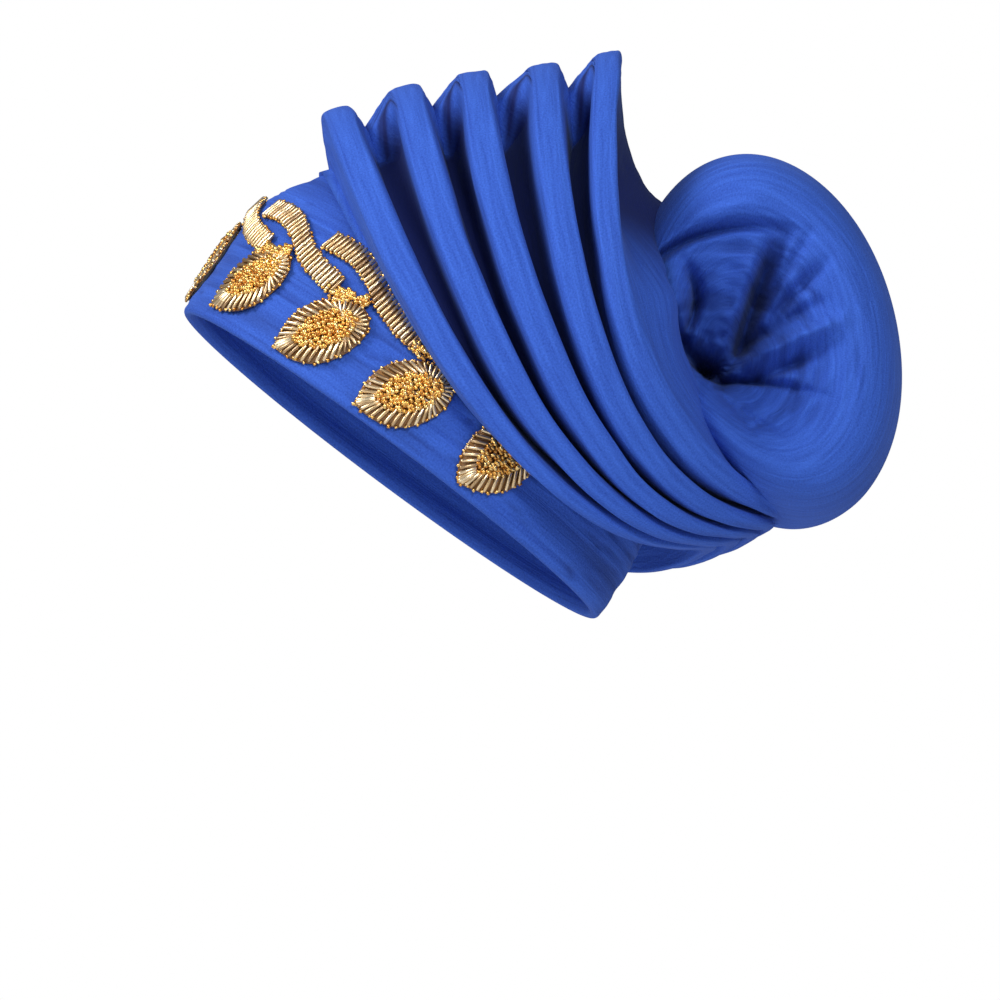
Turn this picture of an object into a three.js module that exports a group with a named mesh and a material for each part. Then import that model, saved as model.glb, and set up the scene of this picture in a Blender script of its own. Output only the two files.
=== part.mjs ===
// Tied gele head tie: a fitted cap, five padded pleats, a gathered bun and a beaded leaf trim.
// Millimetres, +Z up. The forehead is towards -X, the wearer's left towards -Y.
// The origin is the centre of the head opening.

import * as THREE from "three";

const DEGREES = Math.PI / 180;

// The head opening lies in a plane that drops from the forehead to the nape.
const RIM_TILT = 36.5 * DEGREES;

// The cap is a dome over the rim. Fullness under 1 keeps its sides upright before they close in.
const CAP = {
  halfLength: 100,
  backShift: -1,
  halfWidth: 79,
  height: 125,
  fullness: 0.8,
  wall: 2,
  hem: 5.5,
  hemRise: 10,
  browBulge: 7.5,
  browRise: 56,
  browSpread: 28,
};

// Centre line of each pleat in side view, as the four points of a cubic curve from crown to nape.
const PLEATS = [
  {
    crownX: -22.4, crownZ: 138.3, browX: -7.3, browZ: 65.7,
    earX: 52.2, earZ: -56.5, napeX: 121.6, napeZ: -31.7, halfWidth: 92,
  },
  {
    crownX: 5.1, crownZ: 147.6, browX: 12.2, browZ: 75.9,
    earX: 61.1, earZ: -58.7, napeX: 131.6, napeZ: -29.2, halfWidth: 93,
  },
  {
    crownX: 31.0, crownZ: 153.2, browX: 29.8, browZ: 83.9,
    earX: 70.1, earZ: -52.2, napeX: 139.4, napeZ: -26.4, halfWidth: 93,
  },
  {
    crownX: 58.5, crownZ: 156.2, browX: 55.1, browZ: 83.1,
    earX: 75.1, earZ: -36.2, napeX: 145.6, napeZ: -23.6, halfWidth: 92,
  },
  {
    crownX: 83.6, crownZ: 161.3, browX: 69.4, browZ: 78.0,
    earX: 81.8, earZ: -9.7, napeX: 152.2, napeZ: -19.4, halfWidth: 90,
  },
];

// Cross-section of a pleat at the crown and at the sides, in shares of the pleat spacing.
const PLEAT_AT_CROWN = { frontFoot: -0.66, frontShoulder: -0.23, rearShoulder: 0.2, rearFoot: 0.31, rounding: 0.08 };
const PLEAT_AT_SIDE = { frontFoot: -0.455, frontShoulder: -0.42, rearShoulder: 0.42, rearFoot: 0.455, rounding: 0.26 };
// The first pleat has a narrower front, which lies on the cap.
const FIRST_PLEAT_FOOT = { crown: -0.32, side: -0.27 };
const FIRST_PLEAT_SHOULDER = { crown: -0.17, side: -0.22 };
// A web of cloth closes each valley at the crown to a share of its depth, down to a hood at this turn.
const HOOD_DEPTH = 0.42;
const HOOD_TURN = THREE.MathUtils.degToRad(24);
const HOOD_EDGE = THREE.MathUtils.degToRad(8);
const PLEAT_DEPTH_CROWN = 25;
const PLEAT_DEPTH_NAPE = 8;
const PLEAT_FLOOR = 2;
const NAPE_PINCH = 0.2;

// Gap that keeps pleats and bun off the cap, wide enough for the trim to pass under the first pleat.
const CAP_GAP = 3;

// The bun is a stuffed roll lying across the back of the head, with a dished and gathered end on each side.
const BUN = {
  centreX: 143.1,
  centreZ: 50.6,
  halfHeight: 69.5,
  halfDepth: 49,
  lean: 13 * DEGREES,
  halfWidth: 62,
  frontHalfWidth: 46,
  gatherX: 124.1,
  gatherZ: 37.8,
  tuck: 0.27,
  tuckHeading: -126 * DEGREES,
  tuckSpread: 36 * DEGREES,
};

// Profile of one end of the bun, from the gather in the middle of the dish to the widest line of the roll.
const BUN_PROFILE = [
  { reach: 0.0, stand: 0.4 },
  { reach: 0.12, stand: 0.42 },
  { reach: 0.36, stand: 0.72 },
  { reach: 0.58, stand: 0.97 },
  { reach: 0.75, stand: 1.02 },
  { reach: 0.89, stand: 0.9 },
  { reach: 0.975, stand: 0.62 },
  { reach: 1.01, stand: 0.3 },
  { reach: 1.015, stand: 0.0 },
];

// Creases of the gather: direction from the middle of the dish, depth and half-width of each.
const BUN_CREASES = [
  { heading: 100, depth: 7, spread: 11 },
  { heading: 61, depth: 11, spread: 9 },
  { heading: 21, depth: 6, spread: 9 },
  { heading: -2, depth: 8, spread: 8 },
  { heading: -22, depth: 5, spread: 8 },
  { heading: -57, depth: 4, spread: 10 },
  { heading: 137, depth: 8, spread: 12 },
];

// Beaded leaves along the front band: place of the leaf's tip, and lean of its axis from the rim.
const LEAVES = [
  { place: "front", arc: 0, rise: 5, lean: 90, length: 37 },
  { place: "1", arc: 41, rise: 5.5, lean: 57, length: 37 },
  { place: "2", arc: 81, rise: 4, lean: 51, length: 38 },
  { place: "3", arc: 121, rise: 3.5, lean: 48, length: 38 },
  { place: "4", arc: 169, rise: 3, lean: 66, length: 38 },
];
const LEAF_WIDTH = 25.5;
const LEAF_RIBS = 16;
const TRIM_LIFT = 0.4;

// Beaded vine from one leaf to the next: arc past the leaf's tip, and rise above the rim.
const VINE_PATH = [
  { arc: -11, rise: 50 },
  { arc: 2, rise: 51.5 },
  { arc: 14, rise: 48 },
  { arc: 24, rise: 41 },
  { arc: 35, rise: 38.5 },
  { arc: 45, rise: 38 },
];
const VINE_HALF_WIDTH = 3.8;
const VINE_MODULES = 3;
// Spans of the path left out of the first vine, which starts beside the front leaf.
const FRONT_VINE_START = 0.66;

const CLOTH_COLOUR = 0x3f66cf;
const BEAD_COLOUR = 0xd9b878;

const mix = (from, to, share) => from + (to - from) * share;
const limit = (value) => Math.min(1, Math.max(0, value));
const smooth = (value) => limit(value) ** 2 * (3 - 2 * limit(value));

// Point of the rim frame: along the rim from front to back, sideways, and up from the rim plane.
function fromRim(along, side, rise) {
  const x = along * Math.cos(RIM_TILT) + rise * Math.sin(RIM_TILT);
  const z = rise * Math.cos(RIM_TILT) - along * Math.sin(RIM_TILT);
  return new THREE.Vector3(x, side, z);
}

function browAt(rise, turn) {
  const height = Math.exp(-(((rise - CAP.browRise) / CAP.browSpread) ** 2));
  return CAP.browBulge * height * Math.max(0, Math.cos(turn)) ** 2;
}

// Point of the cap. Turn 0 is the forehead, climb runs from the rim (0) to the top of the dome.
function capPoint(turn, climb, inset) {
  const spread = Math.max(0, Math.cos(climb)) ** CAP.fullness;
  const rise = (CAP.height - inset) * Math.sin(climb);
  const along = CAP.backShift - (CAP.halfLength - inset) * Math.cos(turn) * spread - browAt(rise, turn);
  const side = -(CAP.halfWidth - inset) * Math.sin(turn) * spread;
  return fromRim(along, side, rise);
}

// Moves a point that would sit in the cap straight out from the cap's axis until it clears it.
function clearOfCap(point, gap) {
  const along = point.x * Math.cos(RIM_TILT) - point.z * Math.sin(RIM_TILT);
  const rise = point.x * Math.sin(RIM_TILT) + point.z * Math.cos(RIM_TILT);
  const top = CAP.height + gap;
  if (rise >= top) return point;
  const climb = Math.asin(limit(rise / top));
  const length = CAP.halfLength + gap;
  const width = CAP.halfWidth + gap;
  const turn = Math.atan2(-point.y / width, (CAP.backShift - along) / length);
  const centred = along - CAP.backShift + browAt(rise, turn);
  const share = Math.hypot(centred / length, point.y / width);
  const spread = Math.cos(climb) ** CAP.fullness;
  if (share >= spread) return point;
  const scale = spread / Math.max(share, 1e-6);
  return fromRim(centred * scale + CAP.backShift - browAt(rise, turn), point.y * scale, rise);
}

// Closed solid through rings of points. A ring of one point is a pole; a looped skin joins end to start.
function solidOf(rings, looped) {
  const positions = [];
  const starts = [];
  for (const ring of rings) {
    starts.push(positions.length / 3);
    for (const point of ring) positions.push(point.x, point.y, point.z);
  }
  const triangles = [];
  const bands = looped ? rings.length : rings.length - 1;
  for (let band = 0; band < bands; band += 1) {
    const next = (band + 1) % rings.length;
    const count = Math.max(rings[band].length, rings[next].length);
    for (let step = 0; step < count; step += 1) {
      const after = (step + 1) % count;
      const a = starts[band] + (step % rings[band].length);
      const b = starts[band] + (after % rings[band].length);
      const c = starts[next] + (step % rings[next].length);
      const d = starts[next] + (after % rings[next].length);
      if (a !== b) triangles.push([a, b, d]);
      if (c !== d) triangles.push([a, d, c]);
    }
  }
  const corner = (index) => new THREE.Vector3().fromArray(positions, index * 3);
  let volume = 0;
  for (const [a, b, c] of triangles) volume += corner(a).dot(corner(b).cross(corner(c)));
  const faces = volume > 0 ? triangles : triangles.map(([a, b, c]) => [a, c, b]);
  const geometry = new THREE.BufferGeometry();
  geometry.setAttribute("position", new THREE.Float32BufferAttribute(positions, 3));
  geometry.setIndex(faces.flat());
  geometry.computeVertexNormals();
  return geometry;
}

// Point of a quadratic B-spline with clamped ends, at a parameter from 0 to the number of its spans.
function splineAt(controls, parameter) {
  const spans = controls.length - 2;
  const span = Math.min(spans - 1, Math.floor(parameter));
  const t = parameter - span;
  const [first, second, third] = [controls[span], controls[span + 1], controls[span + 2]];
  const result = {};
  for (const key of Object.keys(first)) {
    const start = span === 0 ? first[key] : (first[key] + second[key]) / 2;
    const end = span === spans - 1 ? third[key] : (second[key] + third[key]) / 2;
    result[key] = (1 - t) ** 2 * start + 2 * t * (1 - t) * second[key] + t * t * end;
  }
  return result;
}

// Rounded hem at the rim, as places on the way round it: rise above the rim and inset from the outside.
const HEM_PROFILE = [
  { rise: 5, inset: 0 },
  { rise: 1.6, inset: 0.9 },
  { rise: 0, inset: 2.8 },
  { rise: 1.2, inset: 4.8 },
  { rise: 5, inset: CAP.hem },
  { rise: CAP.hemRise, inset: CAP.wall },
];

function capSolid() {
  const turns = 32;
  const ringAt = (rise, inset) => {
    const ring = [];
    const climb = Math.asin(rise / (CAP.height - inset));
    for (let step = 0; step < turns; step += 1) ring.push(capPoint((step * 2 * Math.PI) / turns, climb, inset));
    return ring;
  };
  const rises = [0.975, 0.91, 0.81, 0.68, 0.55, 0.42, 0.3, 0.2, 0.11];
  const outer = rises.map((share) => ringAt(share * CAP.height, 0));
  const hem = HEM_PROFILE.map(({ rise, inset }) => ringAt(rise, inset));
  const innerRises = rises.filter((share, index) => index % 2 === 0).reverse();
  const inner = innerRises.map((share) => ringAt(share * (CAP.height - CAP.wall), CAP.wall));
  const poles = [[capPoint(0, Math.PI / 2, 0)], [capPoint(0, Math.PI / 2, CAP.wall)]];
  return solidOf([poles[0], ...outer, ...hem, ...inner, poles[1]], false);
}

// One value of the pleat table at a fractional pleat number, carried on in a straight line past the ends.
function pleatValue(number, column) {
  const at = (row) => {
    const last = PLEATS.length - 1;
    if (row < 0) return PLEATS[0][column] + row * (PLEATS[1][column] - PLEATS[0][column]);
    if (row > last) return PLEATS[last][column] + (row - last) * (PLEATS[last][column] - PLEATS[last - 1][column]);
    return PLEATS[row][column];
  };
  const row = Math.floor(number - 1);
  const t = number - 1 - row;
  const [a, b, c, d] = [at(row - 1), at(row), at(row + 1), at(row + 2)];
  return b + 0.5 * t * (c - a + t * (2 * a - 5 * b + 4 * c - d + t * (3 * (b - c) + d - a)));
}

// Point on the outer envelope of the pleats: turn 0 at the crown, 180 degrees at the nape.
function envelopePoint(number, turn) {
  const share = (1 - Math.cos(turn)) / 2;
  const weights = [(1 - share) ** 3, 3 * share * (1 - share) ** 2, 3 * share ** 2 * (1 - share), share ** 3];
  const along = (names) => names.reduce((sum, name, index) => sum + weights[index] * pleatValue(number, name), 0);
  const x = along(["crownX", "browX", "earX", "napeX"]);
  const z = along(["crownZ", "browZ", "earZ", "napeZ"]);
  const pinch = 1 - NAPE_PINCH * limit((share - 0.6) / 0.4) ** 2;
  return new THREE.Vector3(x, -pleatValue(number, "halfWidth") * Math.sin(turn) * pinch, z);
}

function envelopeNormal(number, turn) {
  const across = envelopePoint(number + 0.05, turn).sub(envelopePoint(number - 0.05, turn));
  const around = envelopePoint(number, turn + 0.03).sub(envelopePoint(number, turn - 0.03));
  return around.cross(across).normalize();
}

function pleatDepth(turn) {
  const share = (1 - Math.cos(turn)) / 2;
  return PLEAT_DEPTH_NAPE + (PLEAT_DEPTH_CROWN - PLEAT_DEPTH_NAPE) * (1 - share) ** 1.5;
}

// The last pleat runs on behind into a skirt: a waist under its crown, and a tail that dips towards the bun.
const SKIRT_AT_CROWN = { waist: -0.12, waistDepth: 1.6, tail: 0.6, tailDepth: 2.0 };
const SKIRT_AT_SIDE = { waist: 0.95, waistDepth: 0.8, tail: 1.5, tailDepth: 1.7 };
const SKIRT_AT_NAPE = { waist: 0.45, waistDepth: 0.5, tail: 0.455, tailDepth: 1.0 };

function skirtValue(share, name) {
  const upper = mix(SKIRT_AT_CROWN[name], SKIRT_AT_SIDE[name], smooth((share - 0.12) / 0.4));
  return mix(upper, SKIRT_AT_NAPE[name], smooth((share - 0.68) / 0.26));
}

// Control points of a pleat's section: offset in shares of the spacing, depth in shares of the fold's depth.
function pleatSection(number, turn) {
  const share = (1 - Math.cos(turn)) / 2;
  const eased = 1 - (1 - share) ** 3;
  const value = (name) => mix(PLEAT_AT_CROWN[name], PLEAT_AT_SIDE[name], eased);
  const toward = (from, to, part) => ({
    offset: mix(from.offset, to.offset, part),
    depth: mix(from.depth, to.depth, part),
  });
  const hooded = mix(HOOD_DEPTH, 1, smooth((turn - HOOD_TURN) / HOOD_EDGE + 0.5));
  const first = (place) => mix(place.crown, place.side, eased);
  const front = number === 1
    ? { offset: first(FIRST_PLEAT_FOOT), depth: 1 }
    : { offset: value("frontFoot"), depth: hooded };
  const brow = { offset: number === 1 ? first(FIRST_PLEAT_SHOULDER) : value("frontShoulder"), depth: 0 };
  const heel = { offset: value("rearShoulder"), depth: 0 };
  const rounding = value("rounding");
  const last = number === PLEATS.length;
  const waist = last
    ? { offset: skirtValue(share, "waist"), depth: skirtValue(share, "waistDepth") }
    : { offset: value("rearFoot"), depth: hooded };
  const end = { offset: skirtValue(share, "tail"), depth: skirtValue(share, "tailDepth") };
  const tail = last ? [toward(waist, end, 0.15), end] : [];
  return [
    front,
    toward(brow, front, rounding * 1.6),
    brow,
    { offset: brow.offset + rounding, depth: -0.2 * rounding },
    { offset: heel.offset - rounding, depth: -0.2 * rounding },
    heel,
    toward(heel, waist, rounding * 1.6),
    waist,
    ...tail,
  ];
}

function pleatSolid(number) {
  const turns = 40;
  const last = number === PLEATS.length;
  const samples = last ? [0, 1, 1.5, 2, 3, 4, 4.5, 5, 6, 7, 8] : [0, 1, 1.5, 2, 3, 4, 4.5, 5, 6];
  const rings = [];
  for (let step = 0; step < turns; step += 1) {
    const turn = (step * 2 * Math.PI) / turns;
    const half = Math.min(turn, 2 * Math.PI - turn);
    const depth = pleatDepth(half);
    const controls = pleatSection(number, half);
    const outline = samples.map((sample) => splineAt(controls, sample));
    const inner = last ? [controls[9], { ...controls[7], offset: controls[7].offset - 0.18 }] : [controls[7]];
    const under = [...inner, controls[0]].map((end) => ({
      offset: end.offset,
      depth: end.depth + PLEAT_FLOOR / depth,
    }));
    const ring = [...outline, ...under].map((place, index) => {
      const base = envelopePoint(number + place.offset, half);
      const point = base.addScaledVector(envelopeNormal(number + place.offset, half), -place.depth * depth);
      const cleared = clearOfCap(point, index < outline.length ? CAP_GAP + PLEAT_FLOOR : CAP_GAP);
      return turn > Math.PI ? cleared.setY(-cleared.y) : cleared;
    });
    rings.push(ring);
  }
  return solidOf(rings, true);
}

// How far the creases sink the cloth of the dish, at a heading from the gather and a share of the way out.
function creaseAt(heading, reach) {
  let sunk = 0;
  for (const crease of BUN_CREASES) {
    const apart = apartFrom(heading, crease.heading * DEGREES);
    sunk += crease.depth * Math.exp(-((apart / (crease.spread * DEGREES)) ** 2));
  }
  return sunk * smooth(reach / 0.25) * (1 - smooth((reach - 0.35) / 0.4));
}

// Angle from one heading to another, between minus and plus half a turn.
function apartFrom(heading, other) {
  return Math.atan2(Math.sin(heading - other), Math.cos(heading - other));
}

// Outline of the bun in side view: a leaning ellipse, tucked in where the pleats pass under it.
function bunOutline(turn) {
  const tucked = 1 - BUN.tuck * Math.exp(-((apartFrom(turn, BUN.tuckHeading) / BUN.tuckSpread) ** 2));
  const up = BUN.halfHeight * Math.sin(turn) * tucked;
  const back = BUN.halfDepth * Math.cos(turn) * tucked;
  const x = BUN.centreX + back * Math.cos(BUN.lean) - up * Math.sin(BUN.lean);
  const z = BUN.centreZ + back * Math.sin(BUN.lean) + up * Math.cos(BUN.lean);
  return { x, z };
}

function bunPoint(turn, station, sign) {
  const { reach, stand } = splineAt(BUN_PROFILE, station);
  const rim = bunOutline(turn);
  const heading = Math.atan2(rim.z - BUN.gatherZ, rim.x - BUN.gatherX);
  const fullness = smooth((Math.cos(heading - 20 * DEGREES) + 0.75) / 0.9);
  const width = mix(BUN.frontHalfWidth, BUN.halfWidth, fullness);
  const out = stand * mix(BUN.halfWidth, width, smooth(reach / 0.4)) - creaseAt(heading, reach);
  const x = mix(BUN.gatherX, rim.x, reach);
  const z = mix(BUN.gatherZ, rim.z, reach);
  return clearOfCap(new THREE.Vector3(x, sign * out, z), CAP_GAP);
}

function bunSolid() {
  const turns = 40;
  const stations = [0.5, 1.2, 2, 2.7, 3.4, 4.1, 4.8, 5.4, 6.1, 7];
  const ringAt = (station, sign) => {
    const ring = [];
    for (let step = 0; step < turns; step += 1) ring.push(bunPoint((step * 2 * Math.PI) / turns, station, sign));
    return ring;
  };
  const near = stations.map((station) => ringAt(station, -1));
  const far = stations.slice(0, -1).reverse().map((station) => ringAt(station, 1));
  return solidOf([[bunPoint(0, 0, -1)], ...near, ...far, [bunPoint(0, 0, 1)]], false);
}

// Turn round the cap at an arc length from the forehead, measured along the band.
function turnAtArc(arc) {
  const step = 0.5 * DEGREES;
  let turn = 0;
  let length = 0;
  while (length < Math.abs(arc)) {
    length += step * Math.hypot(CAP.halfLength * Math.sin(turn), CAP.halfWidth * Math.cos(turn));
    turn += step;
  }
  return Math.sign(arc) * turn;
}

// Point of the front band: arc from the forehead, rise above the rim, and lift off the cap.
function bandPoint(arc, rise, lift) {
  const turn = turnAtArc(arc);
  const climb = Math.asin(rise / CAP.height);
  const point = capPoint(turn, climb, 0);
  const around = capPoint(turn + 0.01, climb, 0).sub(capPoint(turn - 0.01, climb, 0));
  const upward = capPoint(turn, climb + 0.01, 0).sub(capPoint(turn, climb - 0.01, 0));
  const normal = around.cross(upward).normalize();
  const outward = normal.dot(fromRim(-Math.cos(turn), -Math.sin(turn), 0)) < 0 ? normal.negate() : normal;
  return point.addScaledVector(outward, lift);
}

// A leaf: domed bed of seed beads inside a border of long beads laid side by side.
function leafSolid(row, side) {
  const lean = row.lean * DEGREES;
  const steps = LEAF_RIBS * 2;
  const place = (reach, step, lift) => {
    const round = (step * 2 * Math.PI) / steps;
    const along = (row.length / 2) * (1 + reach * Math.cos(round));
    const across = (LEAF_WIDTH / 2) * reach * Math.sign(Math.sin(round)) * Math.abs(Math.sin(round)) ** 1.15;
    const arc = row.arc + along * Math.cos(lean) - across * Math.sin(lean);
    const rise = row.rise + along * Math.sin(lean) + across * Math.cos(lean);
    return bandPoint(side * arc, rise, lift);
  };
  const ringAt = (reach, crest, groove) => {
    const ring = [];
    for (let step = 0; step < steps; step += 1) ring.push(place(reach, step, step % 2 ? groove : crest));
    return ring;
  };
  const top = [[place(0, 0, 2.4)], ringAt(0.52, 2.1, 2.1), ringAt(0.6, 2.2, 1.5), ringAt(0.95, 2.1, 1.4)];
  const edge = [ringAt(1, 1.0, 0.9), ringAt(0.98, TRIM_LIFT, TRIM_LIFT)];
  return solidOf([...top, ...edge, ringAt(0.5, TRIM_LIFT, TRIM_LIFT), [place(0, 0, TRIM_LIFT)]], false);
}

// A strip of vine: beads stand side by side across it, so its top is ribbed along its length.
function vineSolid(module, side) {
  const spans = VINE_PATH.length - 2;
  const sections = 12;
  const tip = LEAVES[module].arc;
  const start = module === 0 ? FRONT_VINE_START : 0;
  const rings = [];
  for (let step = 0; step <= sections; step += 1) {
    const place = splineAt(VINE_PATH, start + (step * (spans - start)) / sections);
    const arc = side * (tip + place.arc);
    const top = step % 2 ? 1.5 : 2.1;
    const across = [-1, -0.85, 0, 0.85, 1, 0];
    const lifts = [TRIM_LIFT, top * 0.8, top, top * 0.8, TRIM_LIFT, TRIM_LIFT];
    rings.push(across.map((part, index) => bandPoint(arc, place.rise + part * VINE_HALF_WIDTH, lifts[index])));
  }
  const middle = (ring) => [ring[2].clone().lerp(ring[5], 0.5)];
  return solidOf([middle(rings[0]), ...rings, middle(rings[sections])], false);
}

const gele = new THREE.Group();
gele.name = "gele_head_tie";

function addPiece(name, geometry, colour, roughness, metalness) {
  const material = new THREE.MeshStandardMaterial({ color: colour, roughness, metalness });
  material.name = metalness > 0 ? "gold_bead" : "blue_cloth";
  const mesh = new THREE.Mesh(geometry, material);
  mesh.name = name;
  gele.add(mesh);
}

const addCloth = (name, geometry) => addPiece(name, geometry, CLOTH_COLOUR, 0.85, 0);
const addBeads = (name, geometry) => addPiece(name, geometry, BEAD_COLOUR, 0.3, 0.8);

addCloth("cap", capSolid());
for (let number = 1; number <= PLEATS.length; number += 1) addCloth(`pleat_${number}`, pleatSolid(number));
addCloth("bun", bunSolid());
addBeads("leaf_front", leafSolid(LEAVES[0], 1));
for (const [name, side] of [["left", 1], ["right", -1]]) {
  for (const row of LEAVES.slice(1)) addBeads(`leaf_${name}_${row.place}`, leafSolid(row, side));
  for (let module = 0; module < VINE_MODULES; module += 1) {
    addBeads(`vine_${name}_${module + 1}`, vineSolid(module, side));
  }
}

export default gele;
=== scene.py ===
"""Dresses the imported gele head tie: crinkled crepe over padded pleats, a gathered bun and a beaded leaf trim.

Tables are in millimetres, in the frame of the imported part: the forehead is towards -X, the wearer's left
towards -Y, and +Z is up. Every surface is a function of two parameters, worked out on a grid of points.
"""

import math
from types import SimpleNamespace

import bpy
import numpy as np
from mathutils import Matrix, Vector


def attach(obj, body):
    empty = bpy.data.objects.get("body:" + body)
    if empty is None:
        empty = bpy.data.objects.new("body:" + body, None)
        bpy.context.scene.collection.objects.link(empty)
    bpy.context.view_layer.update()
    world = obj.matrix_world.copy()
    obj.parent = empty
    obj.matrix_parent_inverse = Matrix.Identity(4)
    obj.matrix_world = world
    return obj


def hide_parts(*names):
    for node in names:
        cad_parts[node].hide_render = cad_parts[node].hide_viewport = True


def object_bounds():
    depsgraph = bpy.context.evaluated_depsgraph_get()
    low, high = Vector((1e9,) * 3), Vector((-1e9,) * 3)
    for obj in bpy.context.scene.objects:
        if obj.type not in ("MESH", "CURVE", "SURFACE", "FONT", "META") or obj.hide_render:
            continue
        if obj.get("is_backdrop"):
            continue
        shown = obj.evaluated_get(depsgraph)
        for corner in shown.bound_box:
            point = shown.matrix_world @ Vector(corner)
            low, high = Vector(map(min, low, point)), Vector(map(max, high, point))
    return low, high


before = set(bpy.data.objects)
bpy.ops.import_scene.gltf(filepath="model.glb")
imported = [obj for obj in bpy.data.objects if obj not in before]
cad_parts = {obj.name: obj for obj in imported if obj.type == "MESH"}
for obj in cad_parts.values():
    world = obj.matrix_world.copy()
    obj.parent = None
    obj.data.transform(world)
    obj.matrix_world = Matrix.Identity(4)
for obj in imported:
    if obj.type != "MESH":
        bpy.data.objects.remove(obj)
cad_box = [list(corner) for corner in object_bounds()]

bl_info = {
    "name": "Gele head tie",
    "version": (1, 0, 0),
    "blender": (4, 5, 0),
    "location": "3D View > Sidebar > Gele",
    "description": "Builds the cloth, beads and stage of a tied gele head tie around its packed frame",
    "category": "Add Mesh",
}

MILLIMETRE = 0.001
BODY = "root"

# The head opening lies in a plane that drops from the forehead to the nape.
RIM_TILT = math.radians(36.5)

# The cap is a dome over the rim. Fullness under 1 keeps its sides upright before they close in.
CAP = SimpleNamespace(
    half_length=100.0,
    back_shift=-1.0,
    half_width=79.0,
    height=125.0,
    fullness=0.8,
    wall=2.0,
    brow_bulge=7.5,
    brow_rise=56.0,
    brow_spread=28.0,
    outer_top=0.9985,
    outer_foot=10.5,
    inner_foot=12.0,
    inner_top=0.998,
    columns=420,
    outer_rows=96,
    hem_rows=26,
    inner_rows=30,
)
# Rounded hem, as places on the way round it: rise above the rim and inset from the outside.
HEM_PROFILE = np.array([(9.0, 0.0), (4.0, -0.3), (1.0, 0.7), (0.0, 2.8), (1.2, 4.8), (5.0, 5.5), (10.0, 2.0)])
# Creases of the band: two layers of noise, each with the rise of a cell, its cells round and up, and depth.
# Sharper lines follow the zeros of the fine layer where the broad one is high.
BAND = SimpleNamespace(
    fine_rise=2.7,
    fine_cells=(16, 64),
    fine_depth=0.3,
    broad_rise=7.0,
    broad_cells=(9, 32),
    broad_depth=0.35,
    line_depth=0.6,
    line_width=0.14,
    line_start=-0.6,
    # Painted shade in the creases: its strength, and the crease depth where it starts and its ease.
    shade=0.5,
    shade_start=0.5,
    shade_ease=0.9,
)

# Centre line of each pleat in side view, as the four points of a cubic curve from crown to nape.
PLEAT_COLUMNS = ("crown_x", "crown_z", "brow_x", "brow_z", "ear_x", "ear_z", "nape_x", "nape_z", "half_width")
PLEATS = np.array([
    (-22.4, 138.3, -7.3, 65.7, 52.2, -56.5, 121.6, -31.7, 92.0),
    (5.1, 147.6, 12.2, 75.9, 61.1, -58.7, 131.6, -29.2, 93.0),
    (31.0, 153.2, 29.8, 83.9, 70.1, -52.2, 139.4, -26.4, 93.0),
    (58.5, 156.2, 55.1, 83.1, 75.1, -36.2, 145.6, -23.6, 92.0),
    (83.6, 161.3, 69.4, 78.0, 81.8, -9.7, 152.2, -19.4, 90.0),
])
PLEAT_COUNT = len(PLEATS)

# Cross-section of a pleat at the crown and at the sides, in shares of the pleat spacing.
SECTION_COLUMNS = ("front_foot", "front_shoulder", "rear_shoulder", "rear_foot", "rounding")
SECTION_AT_CROWN = (-0.72, -0.23, 0.2, 0.31, 0.11)
SECTION_AT_SIDE = (-0.56, -0.33, 0.41, 0.455, 0.24)
# The first pleat has a narrower front, which lies on the cap.
FIRST_FOOT = SimpleNamespace(crown=-0.32, side=-0.27)
FIRST_SHOULDER = SimpleNamespace(crown=-0.17, side=-0.22)
SECTION_EASE = 2.3
PLEAT_DEPTH = SimpleNamespace(crown=25.0, nape=9.5, power=1.5, floor=1.2)
# At the crown a web of cloth closes each valley to this share of its depth, up to a hood at this turn.
# Below the hood the valley is this deep, with a steep wall up to the front shoulder.
# A few arched creases cross the web above the hood's mouth, with places and widths as turns in radians.
# The mouth is only a dark line of painted shade, and the creases are painted darker as well as pressed in.
HOOD = SimpleNamespace(
    depth=0.42,
    turn=math.radians(24.0),
    edge=math.radians(4.0),
    valley=1.2,
    steepness=0.85,
    steep_end=0.6,
    steep_ease=0.3,
    arch=0.16,
    arch_top=0.05,
    arch_middle=0.95,
    creases=(0.07, 0.14, 0.2),
    crease_width=0.018,
    crease_depth=1.4,
    crease_shade=0.75,
    crease_sideways=0.4,
    mouth=0.03,
    mouth_width=0.028,
    wall_start=0.3,
    wall_end=2,
    wall_ease=0.4,
    # Painted shade in the valleys below the hood: the depth at which it starts, and its ease.
    shade_start=0.1,
    shade_ease=0.7,
)
# The pleats are pinched in at the nape, from this share of the way down.
NAPE_PINCH = SimpleNamespace(share=0.2, start=0.6)
# Places along a pleat's section: first and last span of its spline, and how many places they hold.
SECTION_STEPS = ((0, 1, 14), (1, 2.6, 16), (2.6, 3.4, 8), (3.4, 5, 16))
HEEL_SPAN = 5
FLOOR_STEPS = 7
RIDGE_COLUMN = 34
PLEAT_STEPS = 440
# Ribs along a pleat and slow swells: height, width and cells of their noise.
RIBS = SimpleNamespace(height=0.16, width=1.7, cells=(40, 64))
SWELLS = SimpleNamespace(height=0.45, width=9.0, cells=(34, 16))
CAP_GAP = 3.0
PLEAT_GAP = 1.2

# The last pleat runs on behind into a skirt: a waist under its crown, and a tail that dips towards the bun.
SKIRT_COLUMNS = ("waist", "waist_depth", "tail", "tail_depth")
SKIRT_AT_CROWN = (-0.12, 1.6, 0.6, 2.0)
SKIRT_AT_SIDE = (0.95, 0.8, 1.5, 1.7)
SKIRT_AT_NAPE = (0.45, 0.5, 0.455, 1.0)
UNDER_WAIST = 0.18
# Shares of the way down at which the skirt blends from the crown's to the side's, and on to the nape's.
SKIRT_BLEND = SimpleNamespace(upper_start=0.12, upper_ease=0.4, lower_start=0.68, lower_ease=0.26)
# The skirt's tail bends at this share of the way from its waist to its end.
TAIL_BEND = 0.15
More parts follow.
